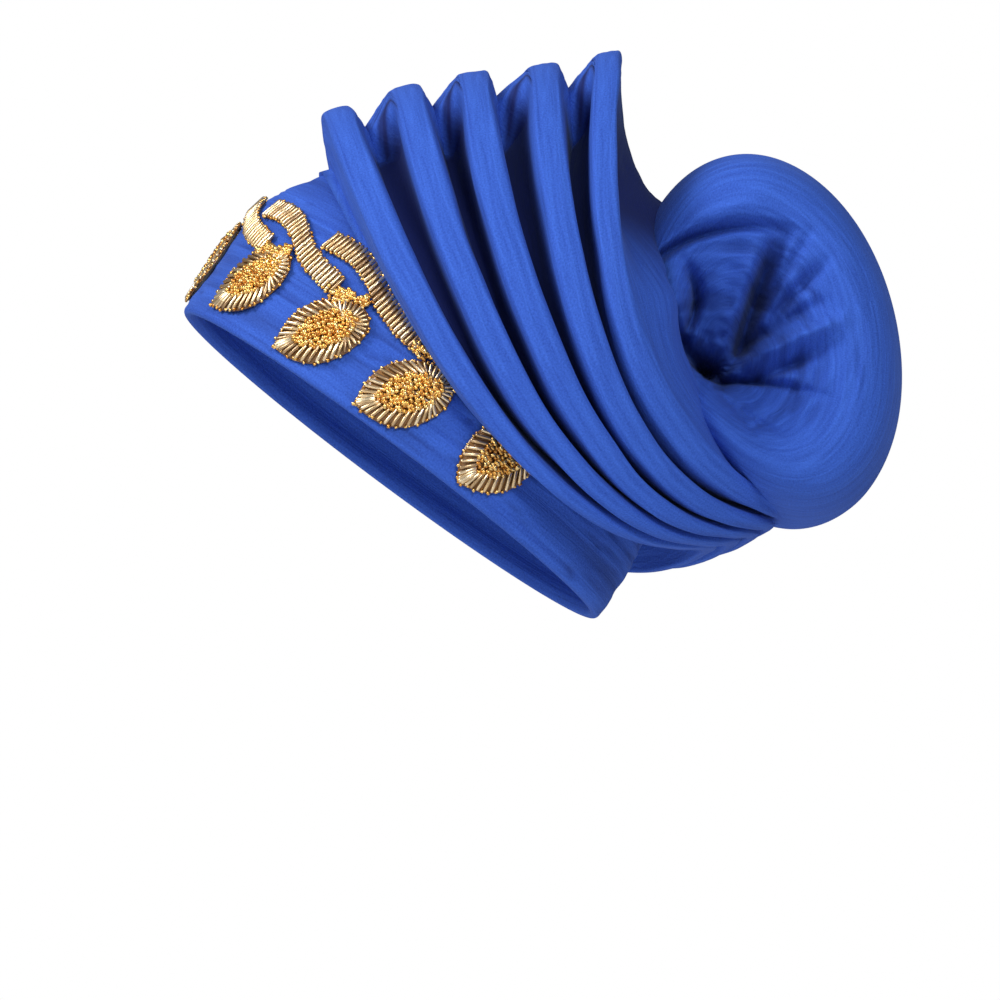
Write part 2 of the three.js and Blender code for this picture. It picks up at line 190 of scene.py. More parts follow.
# The edge of the skirt is drawn this far into the bun at the crown and low on the sides, between these turns.
SKIRT_DRAW = SimpleNamespace(
    crown=17.0,
    crown_spread=0.7,
    side=7.0,
    side_end=1.6,
    low_start=1.3,
    low_end=2.5,
    inward=14.0,
    inward_start=1.4,
    ease=0.4,
    low_ease=0.3,
    start_span=5.5,
)
# Behind the ridge the skirt lies in shade at the crown: ease along the section, then start and ease in turn.
SKIRT_SHADE = SimpleNamespace(section_ease=1.2, turn_start=0.8, turn_ease=0.7)

# The bun is a stuffed roll lying across the back of the head, with a dished and gathered end on each side.
BUN = SimpleNamespace(
    centre=(143.1, 50.6),
    half_height=69.5,
    half_depth=49.0,
    lean=math.radians(13.0),
    half_width=62.0,
    front_half_width=46.0,
    gather=(124.1, 37.8),
    tuck=0.07,
    tuck_heading=math.radians(-130.0),
    tuck_spread=math.radians(32.0),
    sag=5.5,
    sag_heading=math.radians(-70.0),
    sag_spread=math.radians(48.0),
    full_heading=math.radians(-8.0),
    full_start=-0.75,
    full_ease=0.9,
    front_ease=0.4,
    dish_end=0.8,
    dish_ease=0.16,
    inner_end=0.45,
    ridge_end=0.55,
    inner_ease=0.3,
    first_station=0.03,
    roll_station=4.6,
    columns=310,
    dish_rows=128,
    roll_rows=30,
)
# Profile of one end of the bun, from the gather to the widest line of the roll: reach and stand.
BUN_PROFILE = np.array([
    (0.0, 0.4), (0.12, 0.42), (0.36, 0.72), (0.58, 0.97), (0.75, 1.02),
    (0.89, 0.9), (0.975, 0.62), (1.01, 0.3), (1.015, 0.0),
])
# Folds of the gathered end in side view: a curve from start past bend to end, its half-width and its height.
FOLD_COLUMNS = ("start_x", "start_z", "bend_x", "bend_z", "end_x", "end_z", "half_width", "height")
BUN_FOLDS = np.array([
    (149.5, 89.0, 139.0, 69.2, 132.5, 38.0, 3.7, -22.0),
    (142.0, 86.0, 133.0, 70.0, 128.0, 46.0, 4.5, 5.0),
    (105.0, 78.0, 123.0, 66.0, 111.0, 48.0, 2.2, -12.0),
    (96.0, 72.0, 104.0, 65.0, 110.0, 55.0, 7.0, 8.0),
    (117.0, 80.0, 126.0, 64.0, 124.0, 46.0, 5.5, 5.0),
    (177.0, 52.5, 156.0, 46.0, 129.0, 35.0, 3.2, 9.0),
    (168.0, 59.0, 152.0, 55.0, 136.0, 45.0, 2.4, -5.0),
    (168.0, 76.0, 154.0, 66.0, 142.0, 50.0, 2.6, -6.0),
    (160.0, 88.0, 150.0, 74.0, 140.0, 56.0, 2.0, -4.0),
    (169.0, 45.0, 152.0, 33.0, 136.0, 31.0, 2.6, -9.0),
    (170.0, 18.0, 140.0, 33.0, 124.0, 31.5, 1.6, -7.0),
    (170.0, 22.5, 143.0, 36.0, 128.0, 35.0, 3.0, 3.0),
    (139.0, 3.0, 133.0, 14.0, 123.0, 26.0, 1.7, -3.0),
    (152.0, 5.0, 141.0, 9.5, 129.0, 21.0, 1.6, -2.4),
    (166.0, 80.0, 114.0, 97.0, 94.0, 68.0, 2.2, -10.0),
    (162.0, 92.0, 110.0, 104.0, 91.0, 77.0, 5.0, 4.0),
    (114.0, 106.0, 103.0, 89.0, 92.5, 70.5, 2.6, 6.0),
    (108.0, 104.0, 97.0, 87.0, 87.0, 75.0, 3.6, -9.0),
    (89.0, 69.0, 106.0, 49.0, 127.0, 30.0, 3.4, -17.0),
    (114.0, 43.0, 122.0, 37.0, 131.0, 34.0, 4.0, -10.0),
])

# Crinkles of the gathered end: two layers of noise, each with the width of a cell, its cells round and out,
# and its heights on the roll and in the gather.
CRINKLES = SimpleNamespace(
    coarse_width=3.4,
    coarse_cells=(22, 48),
    coarse_heights=(0.3, 1.8),
    fine_width=1.5,
    fine_cells=(36, 96),
    fine_heights=(0.28, 0.4),
    smooth_gather=0.12,
)
# Shade of the gathered end: strength in the folds, at the gather and between the crinkles.
GATHER_SHADE = SimpleNamespace(
    fold=0.65,
    full_fold=15.0,
    gather=0.25,
    reach=0.42,
    reach_ease=0.4,
    crinkle=0.3,
    full_crinkle=1.2,
    most=0.95,
)

# A fold grows from its start over this share of its length, and fades by this share near its end.
FOLD_ENDS = SimpleNamespace(growth=0.55, fade=0.6, fade_start=0.85)

# Beaded leaves along the front band: place of the leaf's tip, lean of its axis from the rim, and length.
LEAF_COLUMNS = ("arc", "rise", "lean", "length")
LEAVES = {
    "front": (0.0, 5.0, 90.0, 37.0),
    "1": (41.0, 5.5, 57.0, 37.0),
    "2": (81.0, 4.0, 51.0, 38.0),
    "3": (121.0, 3.5, 48.0, 38.0),
    "4": (169.0, 3.0, 66.0, 38.0),
}
LEAF_WIDTH = 25.5
LEAF_POWERS = SimpleNamespace(tip=1.7, base=0.95)
# Heap of seed beads in a leaf: a jittered grid, and the middle, half-length and half-width of its outline.
HEAP = SimpleNamespace(
    pitch=1.5,
    jitter=0.5,
    grid_reach=14,
    middle=1.12,
    half_length=0.66,
    half_width=0.56,
    power=1.8,
)
# Border of a leaf: reach of its outer ends, turn of a bead to the middle and push along the leaf, which ends
# towards the base, and the least room that a bead keeps.
BORDER = SimpleNamespace(
    reach=0.97,
    along_share=0.4,
    turn=0.75,
    push=0.62,
    push_end=0.55,
    push_ease=0.35,
    room_share=0.85,
    room_least=1.5,
    lengths=(0.92, 1.06),
    lifts=(-0.1, 0.15),
)
# Height of the backing's two faces above the band, and of the beads that lie on it.
BED_LIFT = SimpleNamespace(low=0.25, high=0.7)
BEAD_LIFT = SimpleNamespace(border=0.55, border_end=0.95, row=0.6, heap=1.9, chips=1.2, edge=0.8)
EDGE_SIZE = 0.7
# The tones of the beads follow beta curves with these two powers.
BUGLE_TONES = (1.4, 1.2)
SEED_TONES = (1.1, 1.3)
BUGLE_SIDES = 8
SEED_SIDES = 6
BUGLE_SLOT = 0
SEED_SLOT = 1
# Beaded vine from one leaf to the next: arc past the leaf's tip, and rise above the rim.
VINE_PATH = np.array([(-11.0, 50.0), (2.0, 51.5), (14.0, 48.0), (24.0, 41.5), (35.0, 38.0), (46.0, 36.5)])
VINE_LEAVES = ("front", "1", "2")
VINE_HALF_WIDTH = 4.2
VINE_LEAN = 0.5
VINE_END_GAP = 0.6
# Loose heap of seed beads between a vine's end and the base of the next leaf.
CHIPS = SimpleNamespace(
    start_arc=44.0,
    start_rise=33.5,
    end_arc=60.0,
    end_rise=38.0,
    spread=1.5,
    arc_spread=0.8,
    count=80,
)
FRONT_VINE_START = 0.66
SIDES = {"left": 1, "right": -1}

# Crepe of each piece: crinkles in a metre along and across the cloth, and share of the crinkles' depth.
CREPE_COLUMNS = ("crinkle_along", "crinkle_across", "depth_share")
CREPES = {
    "crepe_band": (14.0, 420.0, 1.0),
    "crepe_pleat": (25.0, 380.0, 0.8),
    "crepe_bun": (22.0, 420.0, 1.0),
}
BACKING_COLOUR = (0.3, 0.15, 0.05)

# Lights: place and target in metres, and size of the square.
LIGHT_COLUMNS = ("place", "target", "size")
LIGHTS = {
    "key": ((0.45, -1.75, 0.75), (0.05, 0.0, 0.05), 0.6),
    "top": ((-1.15, -0.5, 1.1), (0.06, 0.0, 0.03), 0.7),
    "fill": ((-0.9, -1.6, 0.1), (0.03, 0.0, 0.03), 0.8),
}
CAMERA_TARGET = (0.0421, 0.0, -0.01214)
SENSOR_WIDTH = 36.0
FLOOR_REACH = 6.0

# Start of the random draws of each kind of noise and trim.
SEEDS = SimpleNamespace(
    band_fine=11, band_broad=12, ribs=20, swells=40, crinkle_coarse=71, crinkle_fine=72, leaf=100, vine=200,
)


def mix(start, end, share):
    """Start and end blended in a straight line by share."""
    return start + (end - start) * share


def smooth(value):
    """Value kept between 0 and 1, with an ease at both ends."""
    kept = np.clip(value, 0.0, 1.0)
    return kept * kept * (3 - 2 * kept)


def spline(controls, parameter):
    """Clamped quadratic B-spline: controls are on the second last axis, and parameter counts its spans."""
    spans = controls.shape[-2] - 2
    span = np.minimum(spans - 1, np.floor(parameter).astype(int))
    t = (parameter - span)[:, None]
    first = controls[..., span, :]
    second = controls[..., span + 1, :]
    third = controls[..., span + 2, :]
    start = np.where((span == 0)[:, None], first, (first + second) / 2)
    end = np.where((span == spans - 1)[:, None], third, (second + third) / 2)
    return (1 - t) ** 2 * start + 2 * t * (1 - t) * second + t * t * end


def ripple(along, across, cells, seed):
    """Seeded value noise from -1 to 1: along runs from 0 to 1 and closes on itself, across counts cells."""
    lattice = np.random.default_rng(seed).uniform(-1, 1, cells)
    u = along * cells[0]
    row = np.floor(u).astype(int)
    column = np.floor(across).astype(int)
    s = smooth(u - row)
    t = smooth(across - column)
    corner = lambda i, j: lattice[(row + i) % cells[0], (column + j) % cells[1]]
    return mix(mix(corner(0, 0), corner(1, 0), s), mix(corner(0, 1), corner(1, 1), s), t)


def from_rim(along, side, rise):
    """Point of the rim frame: along the rim from front to back, sideways, and up from the rim plane."""
    x = along * math.cos(RIM_TILT) + rise * math.sin(RIM_TILT)
    z = rise * math.cos(RIM_TILT) - along * math.sin(RIM_TILT)
    return np.stack(np.broadcast_arrays(x, side, z), axis=-1)


def brow(rise, turn):
    """The forehead's bulge: a bell curve over rise, fading to nothing at the sides."""
    bell = np.exp(-(((rise - CAP.brow_rise) / CAP.brow_spread) ** 2))
    return CAP.brow_bulge * bell * np.maximum(0, np.cos(turn)) ** 2


def cap_point(turn, rise, inset):
    """Dome over the rim: an ellipse round the head that closes in as a power of the cosine of the climb."""
    climb = np.arcsin(np.clip(rise / (CAP.height - inset), -1, 1))
    spread = np.cos(climb) ** CAP.fullness
    along = CAP.back_shift - (CAP.half_length - inset) * np.cos(turn) * spread - brow(rise, turn)
    side = -(CAP.half_width - inset) * np.sin(turn) * spread
    return from_rim(along, side, rise)


def clear_of_cap(points, gap):
    """Points inside the cap, moved straight out from its axis until they clear it by the gap."""
    along = points[..., 0] * math.cos(RIM_TILT) - points[..., 2] * math.sin(RIM_TILT)
    rise = points[..., 0] * math.sin(RIM_TILT) + points[..., 2] * math.cos(RIM_TILT)
    top = CAP.height + gap
    length = CAP.half_length + gap
    width = CAP.half_width + gap
    turn = np.arctan2(-points[..., 1] / width, (CAP.back_shift - along) / length)
    centred = along - CAP.back_shift + brow(rise, turn)
    share = np.hypot(centred / length, points[..., 1] / width)
    spread = np.cos(np.arcsin(np.clip(rise / top, 0, 1))) ** CAP.fullness
    inside = (rise < top) & (share < spread)
    scale = np.where(inside, spread / np.maximum(share, 1e-6), 1.0)
    moved = from_rim(centred * scale + CAP.back_shift - brow(rise, turn), points[..., 1] * scale, rise)
    return np.where(inside[..., None], moved, points)


def pleat_value(number, column):
    """One column of the pleat table at fractional numbers: a cubic through the rows, straight past them."""
    values = PLEATS[:, PLEAT_COLUMNS.index(column)]
    spare = np.arange(1, 5)
    before = values[0] - spare[::-1] * (values[1] - values[0])
    after = values[-1] + spare * (values[-1] - values[-2])
    rows = np.concatenate([before, values, after])
    row = np.floor(number - 1).astype(int)
    t = number - 1 - row
    a, b, c, d = (rows[row + len(spare) + step] for step in (-1, 0, 1, 2))
    return b + 0.5 * t * (c - a + t * (2 * a - 5 * b + 4 * c - d + t * (3 * (b - c) + d - a)))


def envelope(number, turn):
    """Outer envelope of the pleats: a cubic curve in side view, bowed sideways by the sine of the turn."""
    share = (1 - np.cos(turn)) / 2
    weights = ((1 - share) ** 3, 3 * share * (1 - share) ** 2, 3 * share**2 * (1 - share), share**3)
    places = ("crown", "brow", "ear", "nape")
    x = sum(weight * pleat_value(number, place + "_x") for weight, place in zip(weights, places))
    z = sum(weight * pleat_value(number, place + "_z") for weight, place in zip(weights, places))
    low = np.clip((share - NAPE_PINCH.start) / (1 - NAPE_PINCH.start), 0, 1)
    pinch = 1 - NAPE_PINCH.share * low**2
    return np.stack([x, -pleat_value(number, "half_width") * np.sin(turn) * pinch, z], axis=-1)


def unit(vectors):
    """Vectors scaled to length 1."""
    return vectors / np.maximum(np.linalg.norm(vectors, axis=-1, keepdims=True), 1e-9)


def envelope_normal(number, turn):
    """Outward direction of the envelope, across its two tangents."""
    across = envelope(number + 0.05, turn) - envelope(number - 0.05, turn)
    around = envelope(number, turn + 0.03) - envelope(number, turn - 0.03)
    return unit(np.cross(around, across))


def pleat_depth(turn):
    """Depth of the folds: deepest at the crown, easing to the nape."""
    share = (1 - np.cos(turn)) / 2
    return PLEAT_DEPTH.nape + (PLEAT_DEPTH.crown - PLEAT_DEPTH.nape) * (1 - share) ** PLEAT_DEPTH.power


def pleat_controls(number, turn):
    """Control points of a pleat's section at each turn: offset in shares of the spacing, depth in folds.

    The section blends from the crown's to the side's. Above the hood its feet end on the web. Below it they
    drop to the valley, with the front wall pulled upright.
    """
    share = (1 - np.cos(turn)) / 2
    eased = 1 - (1 - share) ** SECTION_EASE
    blended = (mix(a, b, eased) for a, b in zip(SECTION_AT_CROWN, SECTION_AT_SIDE))
    section = dict(zip(SECTION_COLUMNS, blended))
    place = lambda offset, depth: np.stack(np.broadcast_arrays(offset, depth, share)[:2], axis=-1)
    foot = section["front_foot"]
    if number == 1:
        foot = mix(FIRST_FOOT.crown, FIRST_FOOT.side, eased)
        section["front_shoulder"] = mix(FIRST_SHOULDER.crown, FIRST_SHOULDER.side, eased)
    rounding = section["rounding"]
    below_hood = smooth((turn - HOOD.turn) / (2 * HOOD.edge) + 0.5)
    hooded = mix(HOOD.depth, HOOD.valley, below_hood)
    front = place(foot, 1.0 if number == 1 else hooded)
    brow_edge = place(section["front_shoulder"], 0.0)
    heel = place(section["rear_shoulder"], 0.0)
    waist = place(section["rear_foot"], hooded)
    tail = []
    if number == PLEAT_COUNT:
        upper = smooth((share - SKIRT_BLEND.upper_start) / SKIRT_BLEND.upper_ease)
        lower = smooth((share - SKIRT_BLEND.lower_start) / SKIRT_BLEND.lower_ease)
        upper_skirt = [mix(a, b, upper) for a, b in zip(SKIRT_AT_CROWN, SKIRT_AT_SIDE)]
        whole_skirt = (mix(a, b, lower) for a, b in zip(upper_skirt, SKIRT_AT_NAPE))
        skirt = dict(zip(SKIRT_COLUMNS, whole_skirt))
        waist = place(skirt["waist"], skirt["waist_depth"])
        end = place(skirt["tail"], skirt["tail_depth"])
        tail = [mix(waist, end, TAIL_BEND), end]
    turned = rounding[:, None] * 1.6
    wall = mix(
        mix(brow_edge, front, turned),
        place(section["front_shoulder"] - 0.05, 0.85 * hooded),
        (HOOD.steepness * below_hood * smooth((HOOD.steep_end - share) / HOOD.steep_ease))[:, None],
    )
    return np.stack([
        front,
        mix(brow_edge, front, turned) if number == 1 else wall,
        brow_edge,
        place(section["front_shoulder"] + rounding, -0.2 * rounding),
        place(section["rear_shoulder"] - rounding, -0.2 * rounding),
        heel,
        mix(heel, waist, turned),
        waist,
        *tail,
    ], axis=1)


def grid_normals(points, looped):
    """Unit normals of a grid whose columns close round, from the differences to the neighbours."""
    if looped:
        down = np.roll(points, -1, axis=0) - np.roll(points, 1, axis=0)
    else:
        down = np.gradient(points, axis=0)
    beside = np.roll(points, -1, axis=1) - np.roll(points, 1, axis=1)
    return unit(np.cross(down, beside))


def grid_quads(rows, columns, looped):
    """Corner indices of the quads of a grid whose columns close round; in a loop the rows do too."""
    bands = rows if looped else rows - 1
    row, column = np.meshgrid(np.arange(bands), np.arange(columns), indexing="ij")
    below = (row + 1) % rows
    beside = (column + 1) % columns
    places = ((row, column), (row, beside), (below, beside), (below, column))
    return np.stack([down * columns + along for down, along in places], axis=-1).reshape(-1, 4)


def signed_volume(vertices, quads):
    """Volume inside the quads: positive where they point outwards."""
    a, b, c, d = (vertices[quads[:, corner]] for corner in range(4))
    return np.sum(a * (np.cross(b, c) + np.cross(c, d)))


def lengths_along(points, axis):
    """Running length of a closed grid along an axis, with one more place for the closing step."""
    closed = np.concatenate([points, np.take(points, [0], axis=axis)], axis=axis)
    steps = np.linalg.norm(np.diff(closed, axis=axis), axis=-1)
    start = np.zeros_like(np.take(steps, [0], axis=axis))
    return np.concatenate([start, np.cumsum(steps, axis=axis)], axis=axis)


def ring_lengths(points, ring):
    """Cloth coordinates of rings: length round the given ring, and length down from the first ring."""
    down = lengths_along(points[:, :1], 0)[:-1]
    around = lengths_along(points, 1)
    return np.repeat(around[ring][None, :], len(points), 0), np.repeat(down, around.shape[1], 1)


def across_from_ridge(points):
    """Running length across a pleat, from the middle of its ridge so that the weave runs along it."""
    across = lengths_along(points, 1)
    return across - across[:, RIDGE_COLUMN][:, None]


def add_mesh(name, vertices, polygons, material):
    """One mesh object from arrays: vertices in millimetres and groups of polygons of equal corner count."""
    mesh = bpy.data.meshes.new(name)
    corners = np.concatenate([group.ravel() for group in polygons])
    counts = np.concatenate([np.full(len(group), group.shape[1]) for group in polygons])
    starts = np.concatenate([[0], np.cumsum(counts)[:-1]])
    mesh.vertices.add(len(vertices))
    mesh.vertices.foreach_set("co", (vertices * MILLIMETRE).astype(np.float32).ravel())
    mesh.loops.add(len(corners))
    mesh.loops.foreach_set("vertex_index", corners.astype(np.int32))
    mesh.polygons.add(len(counts))
    mesh.polygons.foreach_set("loop_start", starts.astype(np.int32))
    mesh.polygons.foreach_set("use_smooth", np.ones(len(counts), dtype=bool))
    mesh.update(calc_edges=True)
    mesh.materials.append(material)
    piece = bpy.data.objects.new(name, mesh)
    bpy.context.scene.collection.objects.link(piece)
    return piece


def facing_out(vertices, quads):
    """The quads, turned over where they point inwards."""
    return quads[:, ::-1] if signed_volume(vertices, quads) < 0 else quads


def corner_values(grid, bands):
    """Values of a grid at the four corners of its quads, in the order of grid_quads."""
    near = grid[:bands]
    far = grid[1:bands + 1]
    return np.stack([near[:, :-1], near[:, 1:], far[:, 1:], far[:, :-1]], axis=-1)


def add_cloth(name, points, looped, material, along, across, shade):
    """Cloth piece from a closed grid. A ring grid that isn't a loop gets a pole at each end.

    The UV map holds the running lengths in metres, so that a weave follows the cloth. Shade is painted shade,
    1 deep in a fold, where the colour is darkened to stand in for the shade that falls there.
    """
    rows, columns = points.shape[:2]
    vertices = points.reshape(-1, 3)
    quads = grid_quads(rows, columns, looped)
    flipped = signed_volume(vertices, quads) < 0
    bands = rows if looped else rows - 1
    uv = np.stack([corner_values(along, bands), corner_values(across, bands)], axis=-1).reshape(-1, 4, 2)
    if flipped:
        quads = quads[:, ::-1]
        uv = uv[:, ::-1]
    polygons = [quads]
    uvs = [uv.reshape(-1, 2)]
    if not looped:
        poles = np.stack([points[0].mean(axis=0), points[-1].mean(axis=0)])
        ring = np.arange(columns)
        after = (ring + 1) % columns
        last = (rows - 1) * columns
        top = np.stack([np.full(columns, len(vertices)), after, ring], axis=-1)
        bottom = np.stack([np.full(columns, len(vertices) + 1), last + ring, last + after], axis=-1)
        fans = np.concatenate([top, bottom])
        polygons.append(fans[:, ::-1] if flipped else fans)
        vertices = np.concatenate([vertices, poles])
        shade = np.append(shade, [shade[0].mean(), shade[-1].mean()])
        uvs.append(np.zeros((2 * columns * 3, 2)))
    piece = add_mesh(name, vertices, polygons, material)
    # Painted shade: each point's shade darkens the cloth's colour in folds and valleys.
    attribute = piece.data.attributes.new("fold_shade", "FLOAT", "POINT")
    attribute.data.foreach_set("value", shade.astype(np.float32).ravel())
    layer = piece.data.uv_layers.new(name="cloth")
    layer.data.foreach_set("uv", (np.concatenate(uvs) * MILLIMETRE).astype(np.float32).ravel())
    return piece


def fit_piece(piece, slot, *nodes):
    """The piece rides on the only body and stands for these nodes, which it hides. The slot is not used."""
    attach(piece, BODY)
    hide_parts(*nodes)
    return piece


def new_group(name, inputs, outputs):
    """Empty shader node group with float or vector sockets, and its two end nodes."""
    group = bpy.data.node_groups.new(name, "ShaderNodeTree")
    for direction, sockets in (("INPUT", inputs), ("OUTPUT", outputs)):
        for label, kind, default in sockets:
            socket = group.interface.new_socket(label, in_out=direction, socket_type=kind)
            if default is not None:
                socket.default_value = default
    return group, group.nodes.new("NodeGroupInput"), group.nodes.new("NodeGroupOutput")


def add_node(tree, kind, links=(), **settings):
    """A node with its settings, and links given as input name or number to output socket."""
    node = tree.nodes.new(kind)
    for name, value in settings.items():
        setattr(node, name, value)
    for name, socket in links:
        tree.links.new(socket, node.inputs[name])
    return node


def set_inputs(node, **values):
    """Constant values of a node's inputs, with underscores for the spaces in their names."""
    for name, value in values.items():
        node.inputs[name.replace("_", " ")].default_value = value
    return node


def math_node(tree, operation, *values):
    """Result of a Math node over sockets or numbers."""
    node = tree.nodes.new("ShaderNodeMath")
    node.operation = operation
    for socket, value in zip(node.inputs, values):
        if isinstance(value, (int, float)):
            socket.default_value = value
        else:
            tree.links.new(value, socket)
    return node.outputs[0]


def crepe_group():
    """Crepe: fuzzy fine grain over crinkles that are long one way and short the other."""
    group, start, end = new_group(
        "crepe",
        [
            ("Vector", "NodeSocketVector", None),
            ("Crinkle Along", "NodeSocketFloat", 60.0),
            ("Crinkle Across", "NodeSocketFloat", 450.0),
            ("Grain", "NodeSocketFloat", 1500.0),
        ],
        [("Height", "NodeSocketFloat", None), ("Tone", "NodeSocketFloat", None)],
    )
    stretch = add_node(group, "ShaderNodeCombineXYZ", [
        ("X", start.outputs["Crinkle Along"]), ("Y", start.outputs["Crinkle Across"]),
    ])
    placed = add_node(group, "ShaderNodeVectorMath", [
        (0, start.outputs["Vector"]), (1, stretch.outputs[0]),
    ], operation="MULTIPLY")
    crinkle = add_node(group, "ShaderNodeTexNoise", [("Vector", placed.outputs[0])], noise_dimensions="2D")
    set_inputs(crinkle, Scale=1.0, Detail=3.0, Roughness=0.6, Distortion=0.6)
    grain = add_node(group, "ShaderNodeTexNoise", [
        ("Vector", start.outputs["Vector"]), ("Scale", start.outputs["Grain"]),
    ], noise_dimensions="2D")
    set_inputs(grain, Detail=2.0, Roughness=0.7)
    height = math_node(group, "MULTIPLY_ADD", grain.outputs["Fac"], 0.45, crinkle.outputs["Fac"])
    # The tone follows the crinkles as the height does: painted light on their crests and painted shade in their
    # grooves, over the tone of the grain.
    crinkle_tone = math_node(group, "MULTIPLY", crinkle.outputs["Fac"], 0.45)
    tone = math_node(group, "MULTIPLY_ADD", grain.outputs["Fac"], 0.55, crinkle_tone)
    group.links.new(height, end.inputs["Height"])
    group.links.new(tone, end.inputs["Tone"])
    return group


def cloth_material(name):
    """Matte blue crepe: two blues mixed by the crepe's tone, painted shade in the folds, and a soft sheen."""
    cloth = bpy.context.scene.gele_cloth
    weave = SimpleNamespace(**dict(zip(CREPE_COLUMNS, CREPES[name])))
    material = bpy.data.materials.new(name)
    material.use_nodes = True
    tree = material.node_tree
    shader = tree.nodes["Principled BSDF"]
    place = add_node(tree, "ShaderNodeUVMap", uv_map="cloth")
    group = bpy.data.node_groups.get("crepe") or crepe_group()
    crepe = add_node(tree, "ShaderNodeGroup", node_tree=group)
    tree.links.new(place.outputs["UV"], crepe.inputs["Vector"])
    set_inputs(
        crepe, Crinkle_Along=weave.crinkle_along, Crinkle_Across=weave.crinkle_across, Grain=1.0 / cloth.grain
    )
    # The ramp runs from the deep blue to the lit blue by the crepe's tone: painted light and shade on the
    # crinkles, over the grain's own tone.
    blend = add_node(tree, "ShaderNodeValToRGB", [("Fac", crepe.outputs["Tone"])])
    blend.color_ramp.elements[0].position = 0.3
    blend.color_ramp.elements[0].color = (*cloth.deep_colour, 1.0)
    blend.color_ramp.elements[1].position = 0.72
    blend.color_ramp.elements[1].color = (*cloth.lit_colour, 1.0)
    # Painted shade: the point's shade mixes the dark shade blue into the colour in folds and valleys.
    fold = add_node(tree, "ShaderNodeAttribute", attribute_name="fold_shade")
    shaded = add_node(tree, "ShaderNodeMix", data_type="RGBA")
    tree.links.new(fold.outputs["Fac"], shaded.inputs["Factor"])
    tree.links.new(blend.outputs["Color"], shaded.inputs["A"])
    shaded.inputs["B"].default_value = (*cloth.painted_shade_colour, 1.0)
    tree.links.new(shaded.outputs["Result"], shader.inputs["Base Color"])
    bump = add_node(tree, "ShaderNodeBump", [("Height", crepe.outputs["Height"])])
    set_inputs(bump, Strength=0.8, Distance=cloth.crinkle_depth * weave.depth_share)
    tree.links.new(bump.outputs["Normal"], shader.inputs["Normal"])
    set_inputs(shader, Roughness=0.85, Specular_IOR_Level=0.25)
    set_inputs(shader, Sheen_Weight=cloth.sheen, Sheen_Roughness=0.45, Sheen_Tint=(0.4, 0.6, 1.0, 1.0))
    return material


def bead_material(name, dark, mid, bright, roughness):
    """Metal-lined beads: each bead's own tone picks its gold, from a dark one to a bright one."""
    material = bpy.data.materials.new(name)
    material.use_nodes = True
    tree = material.node_tree
    shader = tree.nodes["Principled BSDF"]
    tone = add_node(tree, "ShaderNodeAttribute", attribute_name="bead_tone")
    blend = add_node(tree, "ShaderNodeValToRGB", [("Fac", tone.outputs["Fac"])])
    ramp = blend.color_ramp
    ramp.elements[0].color = (*dark, 1.0)
    ramp.elements[1].color = (*bright, 1.0)
    ramp.elements.new(0.45).color = (*mid, 1.0)
    tree.links.new(blend.outputs["Color"], shader.inputs["Base Color"])
    rough = math_node(tree, "MULTIPLY_ADD", tone.outputs["Fac"], -0.1, roughness + 0.1)
    tree.links.new(rough, shader.inputs["Roughness"])
    set_inputs(shader, Metallic=0.85, Coat_Weight=0.6, Coat_Roughness=0.08)
    return material


def cap_surface():
    """The cap as rings: from the crown down the outside, round the hem, and up the inside to the crown.

    The outside is pressed in by the two layers of the band's noise, and by a bell curve over the value of the
    fine layer, which makes lines where it passes zero. Shade grows with the depth.
    """
    turns = np.arange(CAP.columns) * 2 * np.pi / CAP.columns
    outer_rise = np.linspace(CAP.height * CAP.outer_top, CAP.outer_foot, CAP.outer_rows)
    outer = np.stack([outer_rise, np.zeros(CAP.outer_rows)], axis=-1)
    hem = spline(HEM_PROFILE, np.linspace(0, len(HEM_PROFILE) - 2, CAP.hem_rows))
    inner_rise = np.linspace(CAP.inner_foot, (CAP.height - CAP.wall) * CAP.inner_top, CAP.inner_rows)
    inner = np.stack([inner_rise, np.full(CAP.inner_rows, CAP.wall)], axis=-1)
    path = np.concatenate([outer, hem, inner])
    rise = path[:, :1]
    points = cap_point(turns[None, :], rise, path[:, 1:])
    around = np.broadcast_to(turns / (2 * np.pi), points.shape[:2])
    fine = ripple(around, rise / BAND.fine_rise, BAND.fine_cells, SEEDS.band_fine)
    broad = ripple(around, rise / BAND.broad_rise, BAND.broad_cells, SEEDS.band_broad)
    lines = np.exp(-((fine / BAND.line_width) ** 2)) * smooth(broad - BAND.line_start)
    folds = BAND.fine_depth * (fine - 1) + BAND.broad_depth * (broad - 1) - BAND.line_depth * lines
    outside = smooth((len(outer) + 10 - np.arange(len(path))) / 8)[:, None]
    normals = grid_normals(points, False)
    inside = from_rim(0.0, 0.0, 30.0)
    outwards = np.sign(np.sum(normals * (points - inside), axis=-1, keepdims=True))
    points = points + normals * outwards * (folds * outside)[..., None]
    # Painted shade: the band's colour darkens in its creases as they deepen.
    return points, BAND.shade * smooth((-folds - BAND.shade_start) / BAND.shade_ease) * outside


def pleat_section(number, half):
    """Section of a pleat at each turn: the spline of its outside, and a thin floor back to its front foot."""
    controls = pleat_controls(number, half)
    spans = controls.shape[1] - 2
    steps = [np.linspace(*stretch, endpoint=False) for stretch in SECTION_STEPS]
    behind = np.linspace(HEEL_SPAN, spans, 12 + 10 * (spans - 6))
    parameter = np.concatenate([*steps, behind])
    outline = spline(controls, parameter)
    ends = [outline[:, -1], outline[:, 0]]
    if number == PLEAT_COUNT:
        ends.insert(1, controls[:, 7] - np.array([UNDER_WAIST, 0.0]))
    share = np.linspace(0, 1, FLOOR_STEPS)[:, None]
    floor = [mix(start[:, None], stop[:, None], share) for start, stop in zip(ends[:-1], ends[1:])]
    under = np.concatenate(floor, axis=1)
    under[..., 1] += (PLEAT_DEPTH.floor / pleat_depth(half))[:, None]
    return parameter, outline, under


